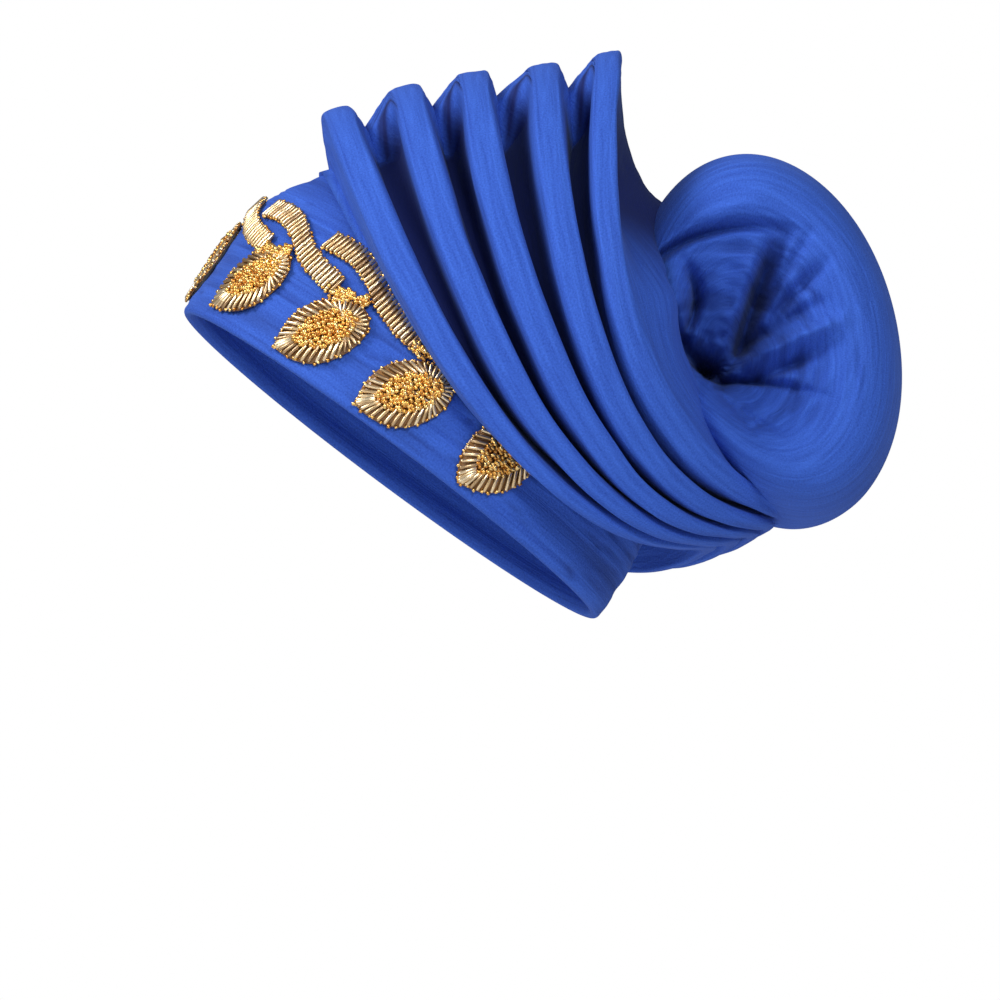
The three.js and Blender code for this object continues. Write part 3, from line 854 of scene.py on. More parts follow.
def skirt_shift(points, half, drawn):
    """Shift of the skirt towards the bun: a bell curve over the turn at the crown, and level at the sides.

    Low on the sides it is also drawn in towards the middle plane. Drawn is 1 at the skirt's edge.
    """
    centre = np.array([BUN.centre[0], 0.0, BUN.centre[1]])
    towards = unit(centre - points * np.array([1.0, 0.0, 1.0]))
    crown = SKIRT_DRAW.crown * np.exp(-((half / SKIRT_DRAW.crown_spread) ** 2))
    side = smooth((SKIRT_DRAW.side_end - half) / SKIRT_DRAW.ease)
    low = smooth((half - SKIRT_DRAW.low_start) / SKIRT_DRAW.low_ease)
    low = low * smooth((SKIRT_DRAW.low_end - half) / SKIRT_DRAW.ease)
    shift = towards * ((crown + SKIRT_DRAW.side * (side + low))[:, None] * drawn)[..., None]
    inward = SKIRT_DRAW.inward * low * smooth((half - SKIRT_DRAW.inward_start) / SKIRT_DRAW.ease)
    shift[..., 1] += inward[:, None] * drawn
    return shift


def hood_lines(number, parameter, half):
    """Turn past the hood's arched edge, with its creases and its mouth as bell curves over that turn.

    The arch is a parabola across the front wall. The mouth is drawn only as a dark line of painted shade. The
    first pleat has no hood.
    """
    arch = HOOD.arch * np.minimum(1, np.abs(parameter / HOOD.arch_middle - 1)) ** 2 - HOOD.arch_top
    past = half[:, None] - HOOD.turn - arch
    on_wall = smooth(parameter / HOOD.wall_start) * smooth((HOOD.wall_end - parameter) / HOOD.wall_ease)
    on_wall = on_wall * (number > 1)
    creases = sum(np.exp(-(((past + above) / HOOD.crease_width) ** 2)) for above in HOOD.creases)
    # The mouth is only painted shade: a dark line at the hood's edge.
    mouth = np.exp(-(((past + HOOD.mouth) / HOOD.mouth_width) ** 2))
    return past, creases * on_wall, mouth * on_wall


def pleat_shade(number, parameter, half, outline):
    """Shade of a pleat: in the valley below the hood, along its creases and mouth, and on the skirt."""
    past, creases, mouth = hood_lines(number, parameter, half)
    # Painted shade: the valley below the hood is darkened in colour as it deepens, and so are the creases.
    valley = smooth((outline[..., 1] - HOOD.shade_start) / HOOD.shade_ease)
    valley = valley * smooth(past / (2 * HOOD.edge) + 0.5)
    shade = np.minimum(1, valley + HOOD.crease_shade * creases + mouth)
    if number == 1:
        shade[:, parameter < HOOD.wall_end] = 0
    if number == PLEAT_COUNT:
        # Painted shade: the skirt behind the ridge is darkened at the crown.
        behind = parameter > HEEL_SPAN
        in_section = smooth((parameter[behind] - HEEL_SPAN) / SKIRT_SHADE.section_ease)
        in_turn = 1 - smooth((half - SKIRT_SHADE.turn_start) / SKIRT_SHADE.turn_ease)
        shade[:, behind] = in_section * in_turn[:, None]
    return shade


def pleat_surface(number):
    """A pleat as rings round the head: its section set on the envelope, with depth along the normal there.

    The last pleat's skirt is drawn to the bun, all is lifted clear of the cap, and the hood's creases are
    pressed down and in.
    """
    turn = np.arange(PLEAT_STEPS) * 2 * np.pi / PLEAT_STEPS
    half = np.minimum(turn, 2 * np.pi - turn)
    parameter, outline, under = pleat_section(number, half)
    skin = len(parameter)
    section = np.concatenate([outline, under], axis=1)
    number_at = number + section[..., 0]
    turn_at = np.broadcast_to(half[:, None], number_at.shape)
    depth = section[..., 1] * pleat_depth(half)[:, None]
    points = envelope(number_at, turn_at) - envelope_normal(number_at, turn_at) * depth[..., None]
    if number == PLEAT_COUNT:
        on_skirt = smooth((parameter - SKIRT_DRAW.start_span) / (parameter[-1] - SKIRT_DRAW.start_span))
        drawn = np.concatenate([on_skirt, np.linspace(1, 0, under.shape[1])])
        points += skirt_shift(points, half, drawn)
    lift = np.full(skin, PLEAT_GAP + PLEAT_DEPTH.floor)
    if number == 1:
        lift = mix(-1.0, lift, smooth(parameter / 1.4))
    points[:, :skin] = clear_of_cap(points[:, :skin], lift)
    points[:, skin:] = clear_of_cap(points[:, skin:], PLEAT_GAP)
    points[turn > np.pi, :, 1] *= -1
    creases = hood_lines(number, parameter, half)[1] * HOOD.crease_depth
    points[:, :skin, 1] += np.sign(np.pi - turn)[:, None] * HOOD.crease_sideways * creases
    points[:, :skin, 2] -= creases
    # Painted shade: the floor under each pleat but the first is fully darkened.
    under_shade = np.full(under.shape[:2], float(number > 1))
    return points, skin, np.concatenate([pleat_shade(number, parameter, half, outline), under_shade], axis=1)


def pleat_cloth(number):
    """The pleat with its cloth: faint ribs along it and slow swells, raised along the surface's normal."""
    points, skin, shade = pleat_surface(number)
    rows, columns = points.shape[:2]
    along = np.linspace(0, 1, rows, endpoint=False)[:, None]
    across = across_from_ridge(points)[:, :-1]
    ribs = RIBS.height * ripple(along, across / RIBS.width, RIBS.cells, SEEDS.ribs + number)
    swell = SWELLS.height * ripple(along, across / SWELLS.width, SWELLS.cells, SEEDS.swells + number)
    column = np.arange(columns)
    fade = smooth((column - 1) / 4) * smooth((skin - 1 - column) / 4)
    normals = grid_normals(points, True)
    volume = signed_volume(points.reshape(-1, 3), grid_quads(rows, columns, True))
    outward = -1.0 if volume > 0 else 1.0
    return points + outward * normals * ((ribs + swell) * fade)[..., None], shade


def bun_outline(turn):
    """Outline of the bun in side view: a leaning ellipse, tucked in at the pleats and sagging behind them."""
    apart = lambda heading: np.angle(np.exp(1j * (turn - heading)))
    tucked = 1 - BUN.tuck * np.exp(-((apart(BUN.tuck_heading) / BUN.tuck_spread) ** 2))
    up = BUN.half_height * np.sin(turn) * tucked
    back = BUN.half_depth * np.cos(turn) * tucked
    sag = BUN.sag * np.exp(-((apart(BUN.sag_heading) / BUN.sag_spread) ** 2))
    x = BUN.centre[0] + back * math.cos(BUN.lean) - up * math.sin(BUN.lean)
    z = BUN.centre[1] + back * math.sin(BUN.lean) + up * math.cos(BUN.lean)
    return x + sag * np.cos(turn + BUN.lean), z + sag * np.sin(turn + BUN.lean)


def fold_heights(x, z):
    """Sum of the folds: each is a bell curve over the distance to its curve, growing from its start."""
    t = np.linspace(0, 1, 100)
    fade = FOLD_ENDS.fade * smooth((t - FOLD_ENDS.fade_start) / (1 - FOLD_ENDS.fade_start))
    strength = smooth(t / FOLD_ENDS.growth) * (1 - fade)
    total = np.zeros_like(x)
    for row in BUN_FOLDS:
        fold = dict(zip(FOLD_COLUMNS, row))
        weights = ((1 - t) ** 2, 2 * t * (1 - t), t * t)
        curve_x = sum(w * fold[end + "_x"] for w, end in zip(weights, ("start", "bend", "end")))
        curve_z = sum(w * fold[end + "_z"] for w, end in zip(weights, ("start", "bend", "end")))
        apart = np.hypot(x[..., None] - curve_x, z[..., None] - curve_z)
        nearest = apart.argmin(axis=-1)
        distance = apart.min(axis=-1)
        total += fold["height"] * strength[nearest] * np.exp(-((distance / fold["half_width"]) ** 2))
    return total


def bun_side(turn, station):
    """One end of the bun as x, z, distance from the middle plane, and shade.

    Rings run from the gather to the outline, with the end's profile as their distance. Folds from the table
    and crinkles from noise round the gather are added in the dish. Ridges fade out sooner than grooves.
    """
    profile = spline(BUN_PROFILE, station)
    reach = profile[:, :1]
    rim_x, rim_z = bun_outline(turn[None, :])
    x = mix(BUN.gather[0], rim_x, reach)
    z = mix(BUN.gather[1], rim_z, reach)
    heading = np.arctan2(rim_z - BUN.gather[1], rim_x - BUN.gather[0])
    fullness = smooth((np.cos(heading - BUN.full_heading) - BUN.full_start) / BUN.full_ease)
    width = mix(BUN.front_half_width, BUN.half_width, fullness)
    out = profile[:, 1:] * mix(BUN.half_width, width, smooth(reach / BUN.front_ease))
    dish = 1 - smooth((reach - BUN.dish_end) / BUN.dish_ease)
    inner = 1 - smooth((reach - BUN.inner_end) / BUN.inner_ease)
    ridges = 1 - smooth((reach - BUN.ridge_end) / BUN.inner_ease)
    radius = np.hypot(x - BUN.gather[0], z - BUN.gather[1])
    around = (heading / (2 * np.pi)) % 1.0
    coarse = ripple(around, radius / CRINKLES.coarse_width, CRINKLES.coarse_cells, SEEDS.crinkle_coarse)
    coarse = coarse * smooth(reach / CRINKLES.smooth_gather)
    fine = ripple(around, radius / CRINKLES.fine_width, CRINKLES.fine_cells, SEEDS.crinkle_fine)
    crinkle = coarse * mix(*CRINKLES.coarse_heights, inner) + fine * mix(*CRINKLES.fine_heights, inner)
    folds = fold_heights(x, z)
    folds = np.where(folds > 0, folds * ridges, folds * dish)
    # Painted shade: the gathered end's colour darkens in the grooves of its folds, towards the gather, and
    # between its crinkles.
    shade = GATHER_SHADE.fold * smooth(-folds / GATHER_SHADE.full_fold)
    shade = shade + GATHER_SHADE.gather * smooth((GATHER_SHADE.reach - reach) / GATHER_SHADE.reach_ease)
    shade = shade + GATHER_SHADE.crinkle * inner * smooth(-crinkle / GATHER_SHADE.full_crinkle)
    return x, z, out + folds + crinkle * dish, np.clip(shade, 0, GATHER_SHADE.most)


def bun_cloth():
    """The bun as rings: out from the near gather to the widest line, then in to the far gather."""
    turn = np.arange(BUN.columns) * 2 * np.pi / BUN.columns
    in_dish = np.linspace(BUN.first_station, BUN.roll_station, BUN.dish_rows, endpoint=False)
    on_roll = np.linspace(BUN.roll_station, len(BUN_PROFILE) - 2, BUN.roll_rows)
    station = np.concatenate([in_dish, on_roll])
    x, z, out, shade = bun_side(turn, station)
    near = np.stack([x, -out, z], axis=-1)
    far = np.stack([x, out, z], axis=-1)[-2::-1]
    return clear_of_cap(np.concatenate([near, far]), CAP_GAP), np.concatenate([shade, shade[-2::-1]])


def arc_turns(arc):
    """Turn round the cap at arc lengths from the forehead along the rim."""
    turn = np.linspace(0, np.pi, 721)
    step = np.hypot(CAP.half_length * np.sin(turn), CAP.half_width * np.cos(turn)) * (turn[1] - turn[0])
    length = np.concatenate([[0], np.cumsum(step[:-1])])
    return np.sign(arc) * np.interp(np.abs(arc), length, turn)


def band_frame(arc, rise):
    """Point of the front band, its outward normal, and the two directions along the rim and up from it."""
    turn = arc_turns(arc)
    point = cap_point(turn, rise, 0.0)
    around = unit(cap_point(turn + 0.01, rise, 0.0) - cap_point(turn - 0.01, rise, 0.0))
    upward = unit(cap_point(turn, rise + 0.5, 0.0) - cap_point(turn, rise - 0.5, 0.0))
    return point, unit(np.cross(around, upward)), around, upward


def band_point(arc, rise, lift):
    """Point lifted off the front band."""
    point, normal, _, _ = band_frame(arc, rise)
    return point + normal * np.asarray(lift)[..., None]


def tubes(starts, ends, normals, radius, sides):
    """Beads as short tubes with rounded ends: rings on an axis from start to end, closed by two poles."""
    axis = ends - starts
    beside = unit(np.cross(axis, normals))
    above = unit(np.cross(beside, axis))
    ring_share = np.array([0.0, 0.07, 0.93, 1.0])
    ring_size = np.array([0.62, 1.0, 1.0, 0.62])
    angle = np.arange(sides) * 2 * np.pi / sides
    circle = beside[:, None] * np.cos(angle)[:, None] + above[:, None] * np.sin(angle)[:, None]
    centre = starts[:, None] + axis[:, None] * ring_share[:, None]
    size = np.broadcast_to(radius, len(starts))[:, None, None, None] * ring_size[:, None, None]
    rings = centre[:, :, None] + circle[:, None] * size
    count = len(starts)
    vertices = np.concatenate([rings.reshape(count, -1, 3), starts[:, None], ends[:, None]], axis=1)
    per_bead = 4 * sides + 2
    step = np.arange(sides)
    after = (step + 1) % sides
    quads = grid_quads(4, sides, False)
    fans = np.concatenate([
        np.stack([np.full(sides, 4 * sides), after, step], -1),
        np.stack([np.full(sides, 4 * sides + 1), 3 * sides + step, 3 * sides + after], -1),
    ])
    shift = (np.arange(count) * per_bead)[:, None, None]
    return vertices.reshape(-1, 3), (quads + shift).reshape(-1, 4), (fans + shift).reshape(-1, 3), per_bead


def add_beads(name, groups, bed, materials):
    """One trim piece: groups of tube beads with a tone for each bead, on a thin bed of backing."""
    vertices, quads, fans, tones, slots = [], [], [], [], []
    base = 0
    for starts, ends, normals, radius, sides, tone, slot in groups:
        points, four, three, per_bead = tubes(starts, ends, normals, radius, sides)
        vertices.append(points)
        quads.append(four + base)
        fans.append(three + base)
        tones.append(np.repeat(tone, per_bead))
        slots.append((len(four), len(three), slot))
        base += len(points)
    bed_points, bed_faces = bed
    vertices.append(bed_points)
    tones.append(np.zeros(len(bed_points)))
    polygons = [*quads, *fans, bed_faces + base]
    piece = add_mesh(name, np.concatenate(vertices), polygons, materials[0])
    for material in materials[1:]:
        piece.data.materials.append(material)
    indices = [np.full(four, slot) for four, _, slot in slots]
    indices += [np.full(three, slot) for _, three, slot in slots]
    indices.append(np.full(len(bed_faces), len(materials) - 1))
    piece.data.polygons.foreach_set("material_index", np.concatenate(indices).astype(np.int32))
    attribute = piece.data.attributes.new("bead_tone", "FLOAT", "POINT")
    attribute.data.foreach_set("value", np.concatenate(tones).astype(np.float32))
    return piece


def patch(arc, rise):
    """Closed thin bed over rings of arc and rise: a top skin, a bottom skin and the edge between them."""
    top = band_point(arc, rise, np.full(arc.shape, BED_LIFT.high))
    bottom = band_point(arc, rise, np.full(arc.shape, BED_LIFT.low))
    grid = np.concatenate([top, bottom[::-1]])
    vertices = grid.reshape(-1, 3)
    return vertices, facing_out(vertices, grid_quads(*grid.shape[:2], False))


def leaf_place(leaf, along, across):
    """Arc and rise of a place in a leaf: along its axis from the tip, and across it."""
    lean = math.radians(leaf.lean)
    arc = leaf.arc + along * math.cos(lean) - across * math.sin(lean)
    rise = leaf.rise + along * math.sin(lean) + across * math.cos(lean)
    return arc, rise


def leaf_outline(leaf, round_at, reach):
    """Leaf outline: a lens whose width follows a power of the sine, pointed at its tip by the rim."""
    sine = np.sin(round_at)
    cosine = np.cos(round_at)
    along = leaf.length / 2 * (1 - reach * cosine)
    power = mix(LEAF_POWERS.base, LEAF_POWERS.tip, (1 + cosine) / 2)
    across = LEAF_WIDTH / 2 * reach * np.sign(sine) * np.abs(sine) ** power
    return along, across


def border_beads(leaf, side, random):
    """Long beads round a leaf: from its outline inwards, slanted along the leaf except near its base."""
    beads = bpy.context.scene.gele_beads
    count = beads.border_count
    round_at = (np.arange(count) + 0.5) * 2 * np.pi / count
    along, across = leaf_outline(leaf, round_at, BORDER.reach)
    inward_along = leaf.length / 2 - along
    inward = unit(np.stack([inward_along * BORDER.along_share, -across], axis=-1))
    push = BORDER.push * (1 - smooth((along / leaf.length - BORDER.push_end) / BORDER.push_ease))
    slant = unit(BORDER.turn * inward + np.stack([push, np.zeros(count)], axis=-1))
    length = beads.bugle_length / MILLIMETRE * random.uniform(*BORDER.lengths, count)
    room = np.minimum(length, np.hypot(inward_along, across) * BORDER.room_share + BORDER.room_least)
    outer = leaf_place(leaf, along, across)
    inner = leaf_place(leaf, along + slant[:, 0] * room, across + slant[:, 1] * room)
    radius = beads.bugle_radius / MILLIMETRE
    lift = random.uniform(*BORDER.lifts, count)
    starts = band_point(side * outer[0], outer[1], radius + BEAD_LIFT.border + lift)
    ends = band_point(side * inner[0], inner[1], radius + BEAD_LIFT.border_end + lift)
    normals = band_frame(side * outer[0], outer[1])[1]
    return starts, ends, normals, radius, BUGLE_SIDES, random.beta(*BUGLE_TONES, count), BUGLE_SLOT


def leaf_heap(leaf, side, random):
    """Seed beads heaped in a leaf: a jittered grid, kept inside a rounded outline nearer to the base."""
    grid = np.meshgrid(
        np.arange(0, leaf.length, HEAP.pitch), np.arange(-HEAP.grid_reach, HEAP.grid_reach, HEAP.pitch)
    )
    along, across = (lines.ravel() + random.uniform(-HEAP.jitter, HEAP.jitter, lines.size) for lines in grid)
    spread_along = (along / leaf.length * 2 - HEAP.middle) / HEAP.half_length
    spread_across = across / (LEAF_WIDTH / 2) / HEAP.half_width
    kept = spread_along**2 + np.abs(spread_across) ** HEAP.power < 1.0
    return seed_beads(*leaf_place(leaf, along[kept], across[kept]), side, random, BEAD_LIFT.heap)


def leaf_edge(leaf, side, random):
    """Tiny seed beads scattered along a leaf's outline."""
    count = bpy.context.scene.gele_beads.border_count
    round_at = (np.arange(count) + random.uniform(-0.35, 0.35, count)) * 2 * np.pi / count
    outline = leaf_outline(leaf, round_at, random.uniform(0.94, 1.01, count))
    return seed_beads(*leaf_place(leaf, *outline), side, random, BEAD_LIFT.edge, EDGE_SIZE)


def leaf_beads(leaf, side, seed):
    """Beads of a leaf: a border of long beads, a heap of seed beads and tiny edge beads, on a thin bed."""
    random = np.random.default_rng(seed)
    groups = [beads(leaf, side, random) for beads in (border_beads, leaf_heap, leaf_edge)]
    rings = np.array([0.04, 0.35, 0.7, 0.99])[:, None]
    round_at = np.arange(48)[None, :] * 2 * np.pi / 48
    arc, rise = leaf_place(leaf, *leaf_outline(leaf, round_at, rings))
    return groups, patch(side * arc, rise)


def seed_beads(arc, rise, side, random, lift, size=1.0):
    """Seed beads as short tubes lying every way at places of the band."""
    count = len(arc)
    beads = bpy.context.scene.gele_beads
    point, normal, around, upward = band_frame(side * arc, rise)
    angle = random.uniform(0, np.pi, count)[:, None]
    tip = random.uniform(-0.5, 0.5, count)[:, None]
    axis = unit(around * np.cos(angle) + upward * np.sin(angle) + normal * tip)
    radius = beads.seed_radius / MILLIMETRE * size * random.uniform(0.8, 1.15, count)
    centre = point + normal * (lift + random.uniform(-0.3, 0.5, count))[:, None]
    reach = axis * (radius * 1.05)[:, None]
    tone = random.beta(*SEED_TONES, count)
    return centre - reach, centre + reach, normal, radius, SEED_SIDES, tone, SEED_SLOT


def vine_beads(tip_arc, side, seed):
    """Beads of a vine: long beads laid across it side by side, tiny edge beads, and a heap at its end.

    The vine is a spline of arc and rise, walked in equal steps of arc. The first starts past the front leaf.
    """
    beads = bpy.context.scene.gele_beads
    random = np.random.default_rng(seed)
    first = FRONT_VINE_START if tip_arc == 0 else 0
    samples = spline(VINE_PATH, np.linspace(first, len(VINE_PATH) - 2, 200))
    arc = tip_arc + samples[:, 0]
    travel = np.concatenate([[0], np.cumsum(np.abs(np.diff(arc)))])
    along_path = lambda at: (np.interp(at, travel, arc), np.interp(at, travel, samples[:, 1]))
    count = int(travel[-1] / (beads.bugle_pitch / MILLIMETRE))
    arc_at, rise_at = along_path(np.linspace(VINE_END_GAP, travel[-1] - VINE_END_GAP, count))
    radius = beads.bugle_radius / MILLIMETRE
    lift = np.full(count, radius + BEAD_LIFT.row)
    reach = VINE_HALF_WIDTH * random.uniform(0.95, 1.05, count)
    starts = band_point(side * (arc_at - VINE_LEAN), rise_at - reach, lift)
    ends = band_point(side * (arc_at + VINE_LEAN), rise_at + reach, lift)
    normals = band_frame(side * arc_at, rise_at)[1]
    row = (starts, ends, normals, radius, BUGLE_SIDES, random.beta(*BUGLE_TONES, count), BUGLE_SLOT)
    edge_arc = np.concatenate([arc_at, arc_at]) + random.uniform(-0.6, 0.6, 2 * count)
    edge_rise = np.concatenate([rise_at - VINE_HALF_WIDTH, rise_at + VINE_HALF_WIDTH])
    edge_rise = edge_rise + random.uniform(-0.3, 0.3, 2 * count)
    tiny = seed_beads(edge_arc, edge_rise, side, random, BEAD_LIFT.edge, EDGE_SIZE)
    share = random.uniform(0, 1, CHIPS.count)
    heap_arc = mix(CHIPS.start_arc, CHIPS.end_arc, share) + random.normal(0, CHIPS.arc_spread, CHIPS.count)
    heap_rise = mix(CHIPS.start_rise, CHIPS.end_rise, share) + random.normal(0, CHIPS.spread, CHIPS.count)
    chips = seed_beads(tip_arc + heap_arc, heap_rise, side, random, BEAD_LIFT.chips)
    bed_arc, bed_rise = along_path(np.linspace(0, travel[-1], 40))
    return [row, tiny, chips], strip_bed(side * bed_arc, bed_rise, np.linspace(-1, 1, 5) * VINE_HALF_WIDTH)


def strip_bed(arc, rise, across):
    """Closed thin bed along a path: sections of a flat tube, closed to a point at each end."""
    places = np.concatenate([across, across[::-1]])
    lifts = np.repeat([BED_LIFT.high, BED_LIFT.low], len(across))
    arcs = np.repeat(arc[:, None], len(places), 1)
    grid = band_point(arcs, rise[:, None] + places, np.tile(lifts, (len(arc), 1)))
    middle = np.repeat(grid.mean(axis=1)[:, None], len(places), 1)
    grid = np.concatenate([middle[:1], grid, middle[-1:]])
    vertices = grid.reshape(-1, 3)
    return vertices, facing_out(vertices, grid_quads(*grid.shape[:2], False))


class GeleCloth(bpy.types.PropertyGroup):
    """Colours and weave of the crepe."""

    # The lit and deep blues are mixed by the crepe's tone: partly the grain's own tone, and partly painted
    # light on the crinkles' crests and painted shade in their grooves.
    lit_colour: bpy.props.FloatVectorProperty(
        name="Lit blue", description="Blue of the threads that catch light", subtype="COLOR",
        default=(0.05, 0.152, 0.68), min=0.0, max=1.0,
    )
    deep_colour: bpy.props.FloatVectorProperty(
        name="Deep blue", description="Blue between the threads", subtype="COLOR",
        default=(0.021, 0.07, 0.4), min=0.0, max=1.0,
    )
    # Dark blue of the painted shade that is mixed into the colour in folds and valleys.
    painted_shade_colour: bpy.props.FloatVectorProperty(
        name="Fold blue", description="Dark blue deep in the folds", subtype="COLOR",
        default=(0.008, 0.017, 0.115), min=0.0, max=1.0,
    )
    grain: bpy.props.FloatProperty(
        name="Grain", description="Size of the fuzzy grain of the threads", subtype="DISTANCE",
        default=0.0008, min=0.0002, max=0.01,
    )
    crinkle_depth: bpy.props.FloatProperty(
        name="Crinkle depth", description="Depth of the fine crinkles", subtype="DISTANCE",
        default=0.0005, min=0.0, max=0.005,
    )
    sheen: bpy.props.FloatProperty(
        name="Sheen", description="Strength of the soft sheen", subtype="FACTOR",
        default=0.07, min=0.0, max=1.0,
    )


class GeleBeads(bpy.types.PropertyGroup):
    """Sizes, counts and colours of the beads."""

    bugle_length: bpy.props.FloatProperty(
        name="Long bead length", description="Length of a long bead in a leaf's border", subtype="DISTANCE",
        default=0.0075, min=0.002, max=0.02,
    )
    bugle_radius: bpy.props.FloatProperty(
        name="Long bead radius", description="Radius of a long bead", subtype="DISTANCE",
        default=0.00072, min=0.0003, max=0.003,
    )
    bugle_pitch: bpy.props.FloatProperty(
        name="Long bead pitch", description="Distance from one long bead of the vine to the next",
        subtype="DISTANCE", default=0.0019, min=0.001, max=0.01,
    )
    seed_radius: bpy.props.FloatProperty(
        name="Seed bead radius", description="Radius of a seed bead", subtype="DISTANCE",
        default=0.0009, min=0.0003, max=0.003,
    )
    border_count: bpy.props.IntProperty(
        name="Border beads", description="Long beads round one leaf", default=40, min=12, max=120,
    )
    bugle_colour: bpy.props.FloatVectorProperty(
        name="Long bead gold", description="Bright champagne gold of the long beads", subtype="COLOR",
        default=(0.93, 0.76, 0.5), min=0.0, max=1.0,
    )
    seed_colour: bpy.props.FloatVectorProperty(
        name="Seed bead gold", description="Amber gold of the seed beads", subtype="COLOR",
        default=(0.9, 0.5, 0.1), min=0.0, max=1.0,
    )


class GeleStage(bpy.types.PropertyGroup):
    """Place of the camera and strength of the lights."""

    azimuth: bpy.props.FloatProperty(
        name="Azimuth", description="Turn of the camera round the head tie", subtype="ANGLE",
        default=math.radians(-2.0),
    )
    elevation: bpy.props.FloatProperty(
        name="Elevation", description="Rise of the camera above the horizon", subtype="ANGLE",
        default=math.radians(-6.0),
    )
    distance: bpy.props.FloatProperty(
        name="Distance", description="Distance of the camera from its target", subtype="DISTANCE",
        default=2.2,
    )
    field: bpy.props.FloatProperty(
        name="Field", description="Width of the picture at the target", subtype="DISTANCE", default=0.385,
    )
    floor_height: bpy.props.FloatProperty(
        name="Floor height", description="Height of the floor under the head opening", subtype="DISTANCE",
        default=-0.45,
    )
    key_power: bpy.props.FloatProperty(
        name="Key light", description="Power of the light beside the camera", subtype="POWER", default=17.5,
    )
    top_power: bpy.props.FloatProperty(
        name="Top light", description="Power of the light above", subtype="POWER", default=20.0,
    )
    fill_power: bpy.props.FloatProperty(
        name="Fill light", description="Power of the light on the front band", subtype="POWER", default=3.0,
    )


def add_area_light(name, place, target, size, power):
    """Square area light at a place, facing a target."""
    light = bpy.data.lights.new(name, "AREA")
    light.size = size
    light.energy = power
    lamp = bpy.data.objects.new(name, light)
    bpy.context.scene.collection.objects.link(lamp)
    lamp.location = place
    lamp.rotation_euler = look_along(np.array(target) - np.array(place))


def look_along(heading):
    """Euler turn that points an object's -Z axis along a heading, with +Z of the world up in view."""
    flat = math.hypot(heading[0], heading[1])
    return (math.atan2(flat, -heading[2]), 0.0, math.atan2(-heading[0], heading[1]))


def add_camera(stage):
    """Camera at its distance from the target, turned by azimuth and elevation, with the field in view."""
    level = math.cos(stage.elevation)
    ahead = -math.cos(stage.azimuth) * level
    back = np.array([math.sin(stage.azimuth) * level, ahead, math.sin(stage.elevation)])
    data = bpy.data.cameras.new("camera")
    data.sensor_width = SENSOR_WIDTH
    data.lens = SENSOR_WIDTH * stage.distance / stage.field
    camera = bpy.data.objects.new("camera", data)
    bpy.context.scene.collection.objects.link(camera)
    camera.location = np.array(CAMERA_TARGET) + back * stage.distance
    camera.rotation_euler = look_along(-back)
    bpy.context.scene.camera = camera


def add_floor(height):
    """Pale square floor at a height under the head tie."""
    material = bpy.data.materials.new("pale_floor")
    material.use_nodes = True
    shader = material.node_tree.nodes["Principled BSDF"]
    set_inputs(shader, Base_Color=(0.86, 0.86, 0.87, 1.0), Roughness=0.9)
    corners = FLOOR_REACH * np.array([(-1, -1), (1, -1), (1, 1), (-1, 1)])
    vertices = np.column_stack([corners, np.full(len(corners), height)]) / MILLIMETRE
    add_mesh("floor", vertices, [np.array([[0, 1, 2, 3]])], material)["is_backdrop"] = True


def add_surround():
    """World that is white where the camera sees it, and a soft pale light elsewhere."""
    world = bpy.data.worlds.new("studio")
    world.use_nodes = True
    tree = world.node_tree
    soft = set_inputs(tree.nodes["Background"], Color=(0.92, 0.94, 1.0, 1.0), Strength=0.2)
    pale = set_inputs(add_node(tree, "ShaderNodeBackground"), Color=(1.0, 1.0, 1.0, 1.0))
    seen = add_node(tree, "ShaderNodeLightPath")
    both = add_node(tree, "ShaderNodeMixShader", [
        ("Fac", seen.outputs["Is Camera Ray"]), (1, soft.outputs[0]), (2, pale.outputs[0]),
    ])
    tree.links.new(both.outputs[0], tree.nodes["World Output"].inputs["Surface"])
    bpy.context.scene.world = world


class GELE_OT_stage(bpy.types.Operator):
    """Builds the floor, the lights, the pale surround and the camera"""

    bl_idname = "gele.stage"
    bl_label = "Stage"

    def execute(self, context):
        stage = context.scene.gele_stage
        add_camera(stage)
        add_floor(stage.floor_height)
        for name, row in LIGHTS.items():
            add_area_light(name, power=getattr(stage, f"{name}_power"), **dict(zip(LIGHT_COLUMNS, row)))
        add_surround()
        context.scene.view_settings.view_transform = "Standard"
        return {"FINISHED"}


class GELE_OT_cap(bpy.types.Operator):
    """Builds the fitted cap with its crinkled band and rolled hem"""

    bl_idname = "gele.cap"
    bl_label = "Cap"

    def execute(self, context):
        material = cloth_material("crepe_band")
        points, shade = cap_surface()
        widest = np.argmax(lengths_along(points, 1)[:, -1])
        piece = add_cloth("cap_cloth", points, False, material, *ring_lengths(points, widest), shade)
        fit_piece(piece, "cloth", "cap")
        return {"FINISHED"}


class GELE_OT_pleats(bpy.types.Operator):
    """Builds the padded pleats from the crown to the nape"""

    bl_idname = "gele.pleats"
    bl_label = "Pleats"

    def execute(self, context):
        material = cloth_material("crepe_pleat")
        for number in range(1, PLEAT_COUNT + 1):
            points, shade = pleat_cloth(number)
            ridge = lengths_along(points[:, RIDGE_COLUMN:RIDGE_COLUMN + 1], 0)
            across = across_from_ridge(points)
            along = np.repeat(ridge, across.shape[1], 1)
            across = np.concatenate([across, across[:1]])
            piece = add_cloth(f"pleat_cloth_{number}", points, True, material, along, across, shade)
            fit_piece(piece, "cloth", f"pleat_{number}")
        return {"FINISHED"}


class GELE_OT_bun(bpy.types.Operator):
    """Builds the stuffed bun with its gathered ends"""

    bl_idname = "gele.bun"
    bl_label = "Bun"

    def execute(self, context):
        material = cloth_material("crepe_bun")
        points, shade = bun_cloth()
        middle = len(points) // 2
        piece = add_cloth("bun_cloth", points, False, material, *ring_lengths(points, middle), shade)
        fit_piece(piece, "cloth", "bun")
        return {"FINISHED"}


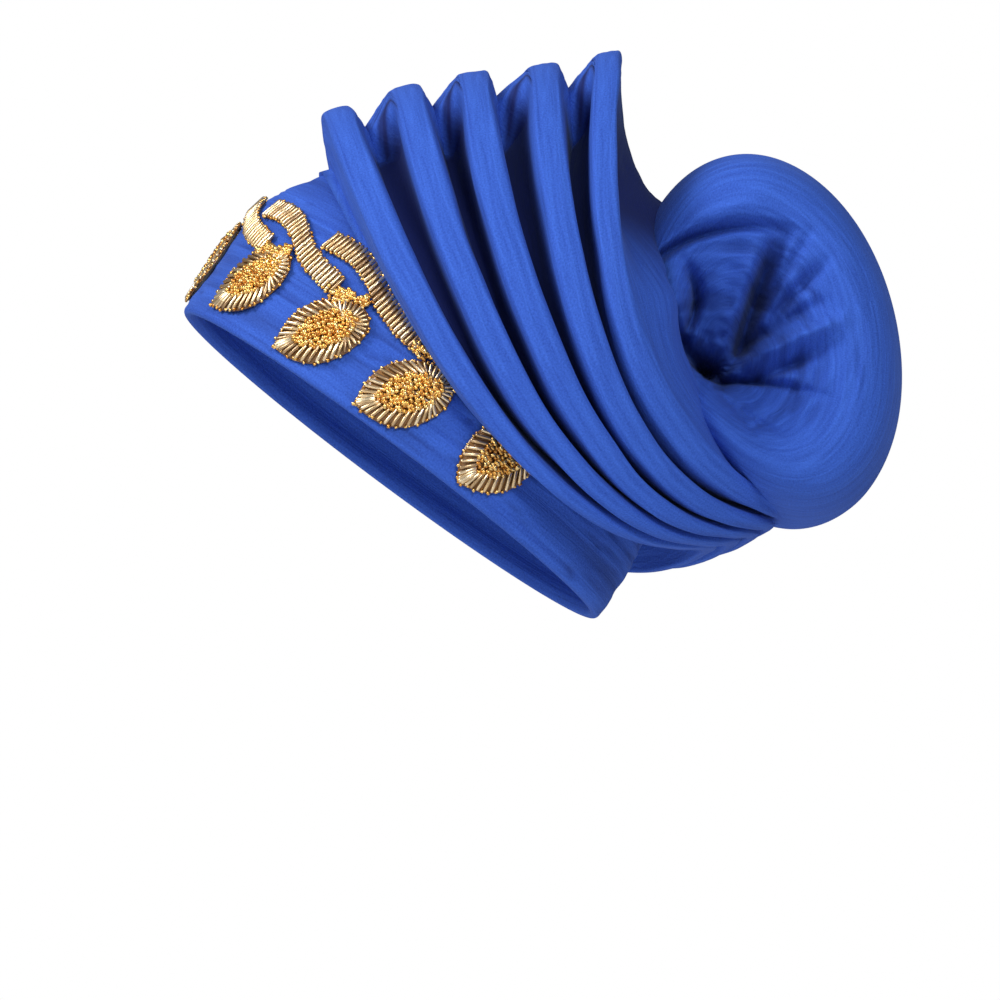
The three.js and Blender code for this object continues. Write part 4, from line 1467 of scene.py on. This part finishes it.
def trim_materials():
    """The three finishes of the trim: long beads, seed beads and the backing under them."""
    beads = bpy.context.scene.gele_beads
    long_gold = np.array(beads.bugle_colour)
    seed_gold = np.array(beads.seed_colour)
    finishes = {
        "bugle_gold": (long_gold * (0.36, 0.27, 0.2), long_gold * (0.8, 0.68, 0.52), long_gold, 0.22),
        "seed_gold": (seed_gold * (0.62, 0.45, 0.3), seed_gold, seed_gold * (1.05, 1.35, 2.6), 0.2),
        "trim_backing": (BACKING_COLOUR, BACKING_COLOUR, BACKING_COLOUR, 0.6),
    }
    return [bpy.data.materials.get(name) or bead_material(name, *row) for name, row in finishes.items()]


class GELE_OT_leaves(bpy.types.Operator):
    """Builds the beaded leaves along the front band"""

    bl_idname = "gele.leaves"
    bl_label = "Leaves"

    def execute(self, context):
        for index, (place, row) in enumerate(LEAVES.items()):
            leaf = SimpleNamespace(**dict(zip(LEAF_COLUMNS, row)))
            sides = {"": 1} if place == "front" else {f"{name}_": sign for name, sign in SIDES.items()}
            for prefix, side in sides.items():
                node = f"leaf_{prefix}{place}"
                groups, bed = leaf_beads(leaf, side, SEEDS.leaf + index)
                piece = add_beads(node.replace("leaf", "leaf_beads"), groups, bed, trim_materials())
                fit_piece(piece, "beads", node)
        return {"FINISHED"}


class GELE_OT_vines(bpy.types.Operator):
    """Builds the beaded vine that runs from leaf to leaf"""

    bl_idname = "gele.vines"
    bl_label = "Vines"

    def execute(self, context):
        for index, place in enumerate(VINE_LEAVES):
            for name, side in SIDES.items():
                groups, bed = vine_beads(LEAVES[place][0], side, SEEDS.vine + index)
                piece = add_beads(f"vine_beads_{name}_{index + 1}", groups, bed, trim_materials())
                fit_piece(piece, "beads", f"vine_{name}_{index + 1}")
        return {"FINISHED"}


class GELE_PT_panel(bpy.types.Panel):
    """Lists the pieces of the head tie and their values"""

    bl_label = "Gele head tie"
    bl_idname = "GELE_PT_panel"
    bl_space_type = "VIEW_3D"
    bl_region_type = "UI"
    bl_category = "Gele"

    def draw(self, context):
        for operator in OPERATORS:
            self.layout.operator(operator.bl_idname)
        for group in GROUPS:
            values = getattr(context.scene, group)
            for name in values.bl_rna.properties.keys():
                if name not in ("rna_type", "name"):
                    self.layout.prop(values, name)


OPERATORS = (GELE_OT_stage, GELE_OT_cap, GELE_OT_pleats, GELE_OT_bun, GELE_OT_leaves, GELE_OT_vines)
GROUPS = {"gele_cloth": GeleCloth, "gele_beads": GeleBeads, "gele_stage": GeleStage}
CLASSES = (*GROUPS.values(), *OPERATORS, GELE_PT_panel)


def register():
    """Registers the classes and hangs the groups of values on the scene."""
    for item in CLASSES:
        bpy.utils.register_class(item)
    for name, group in GROUPS.items():
        setattr(bpy.types.Scene, name, bpy.props.PointerProperty(type=group))


def unregister():
    """Takes off what register put on, in the reverse order."""
    for name in GROUPS:
        delattr(bpy.types.Scene, name)
    for item in reversed(CLASSES):
        bpy.utils.unregister_class(item)


def main():
    """Builds the stage and every piece in order."""
    register()
    bpy.ops.gele.stage()
    bpy.ops.gele.cap()
    bpy.ops.gele.pleats()
    bpy.ops.gele.bun()
    bpy.ops.gele.leaves()
    bpy.ops.gele.vines()
    visual_box = [list(corner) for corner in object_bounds()]


if __name__ == "__main__":
    main()
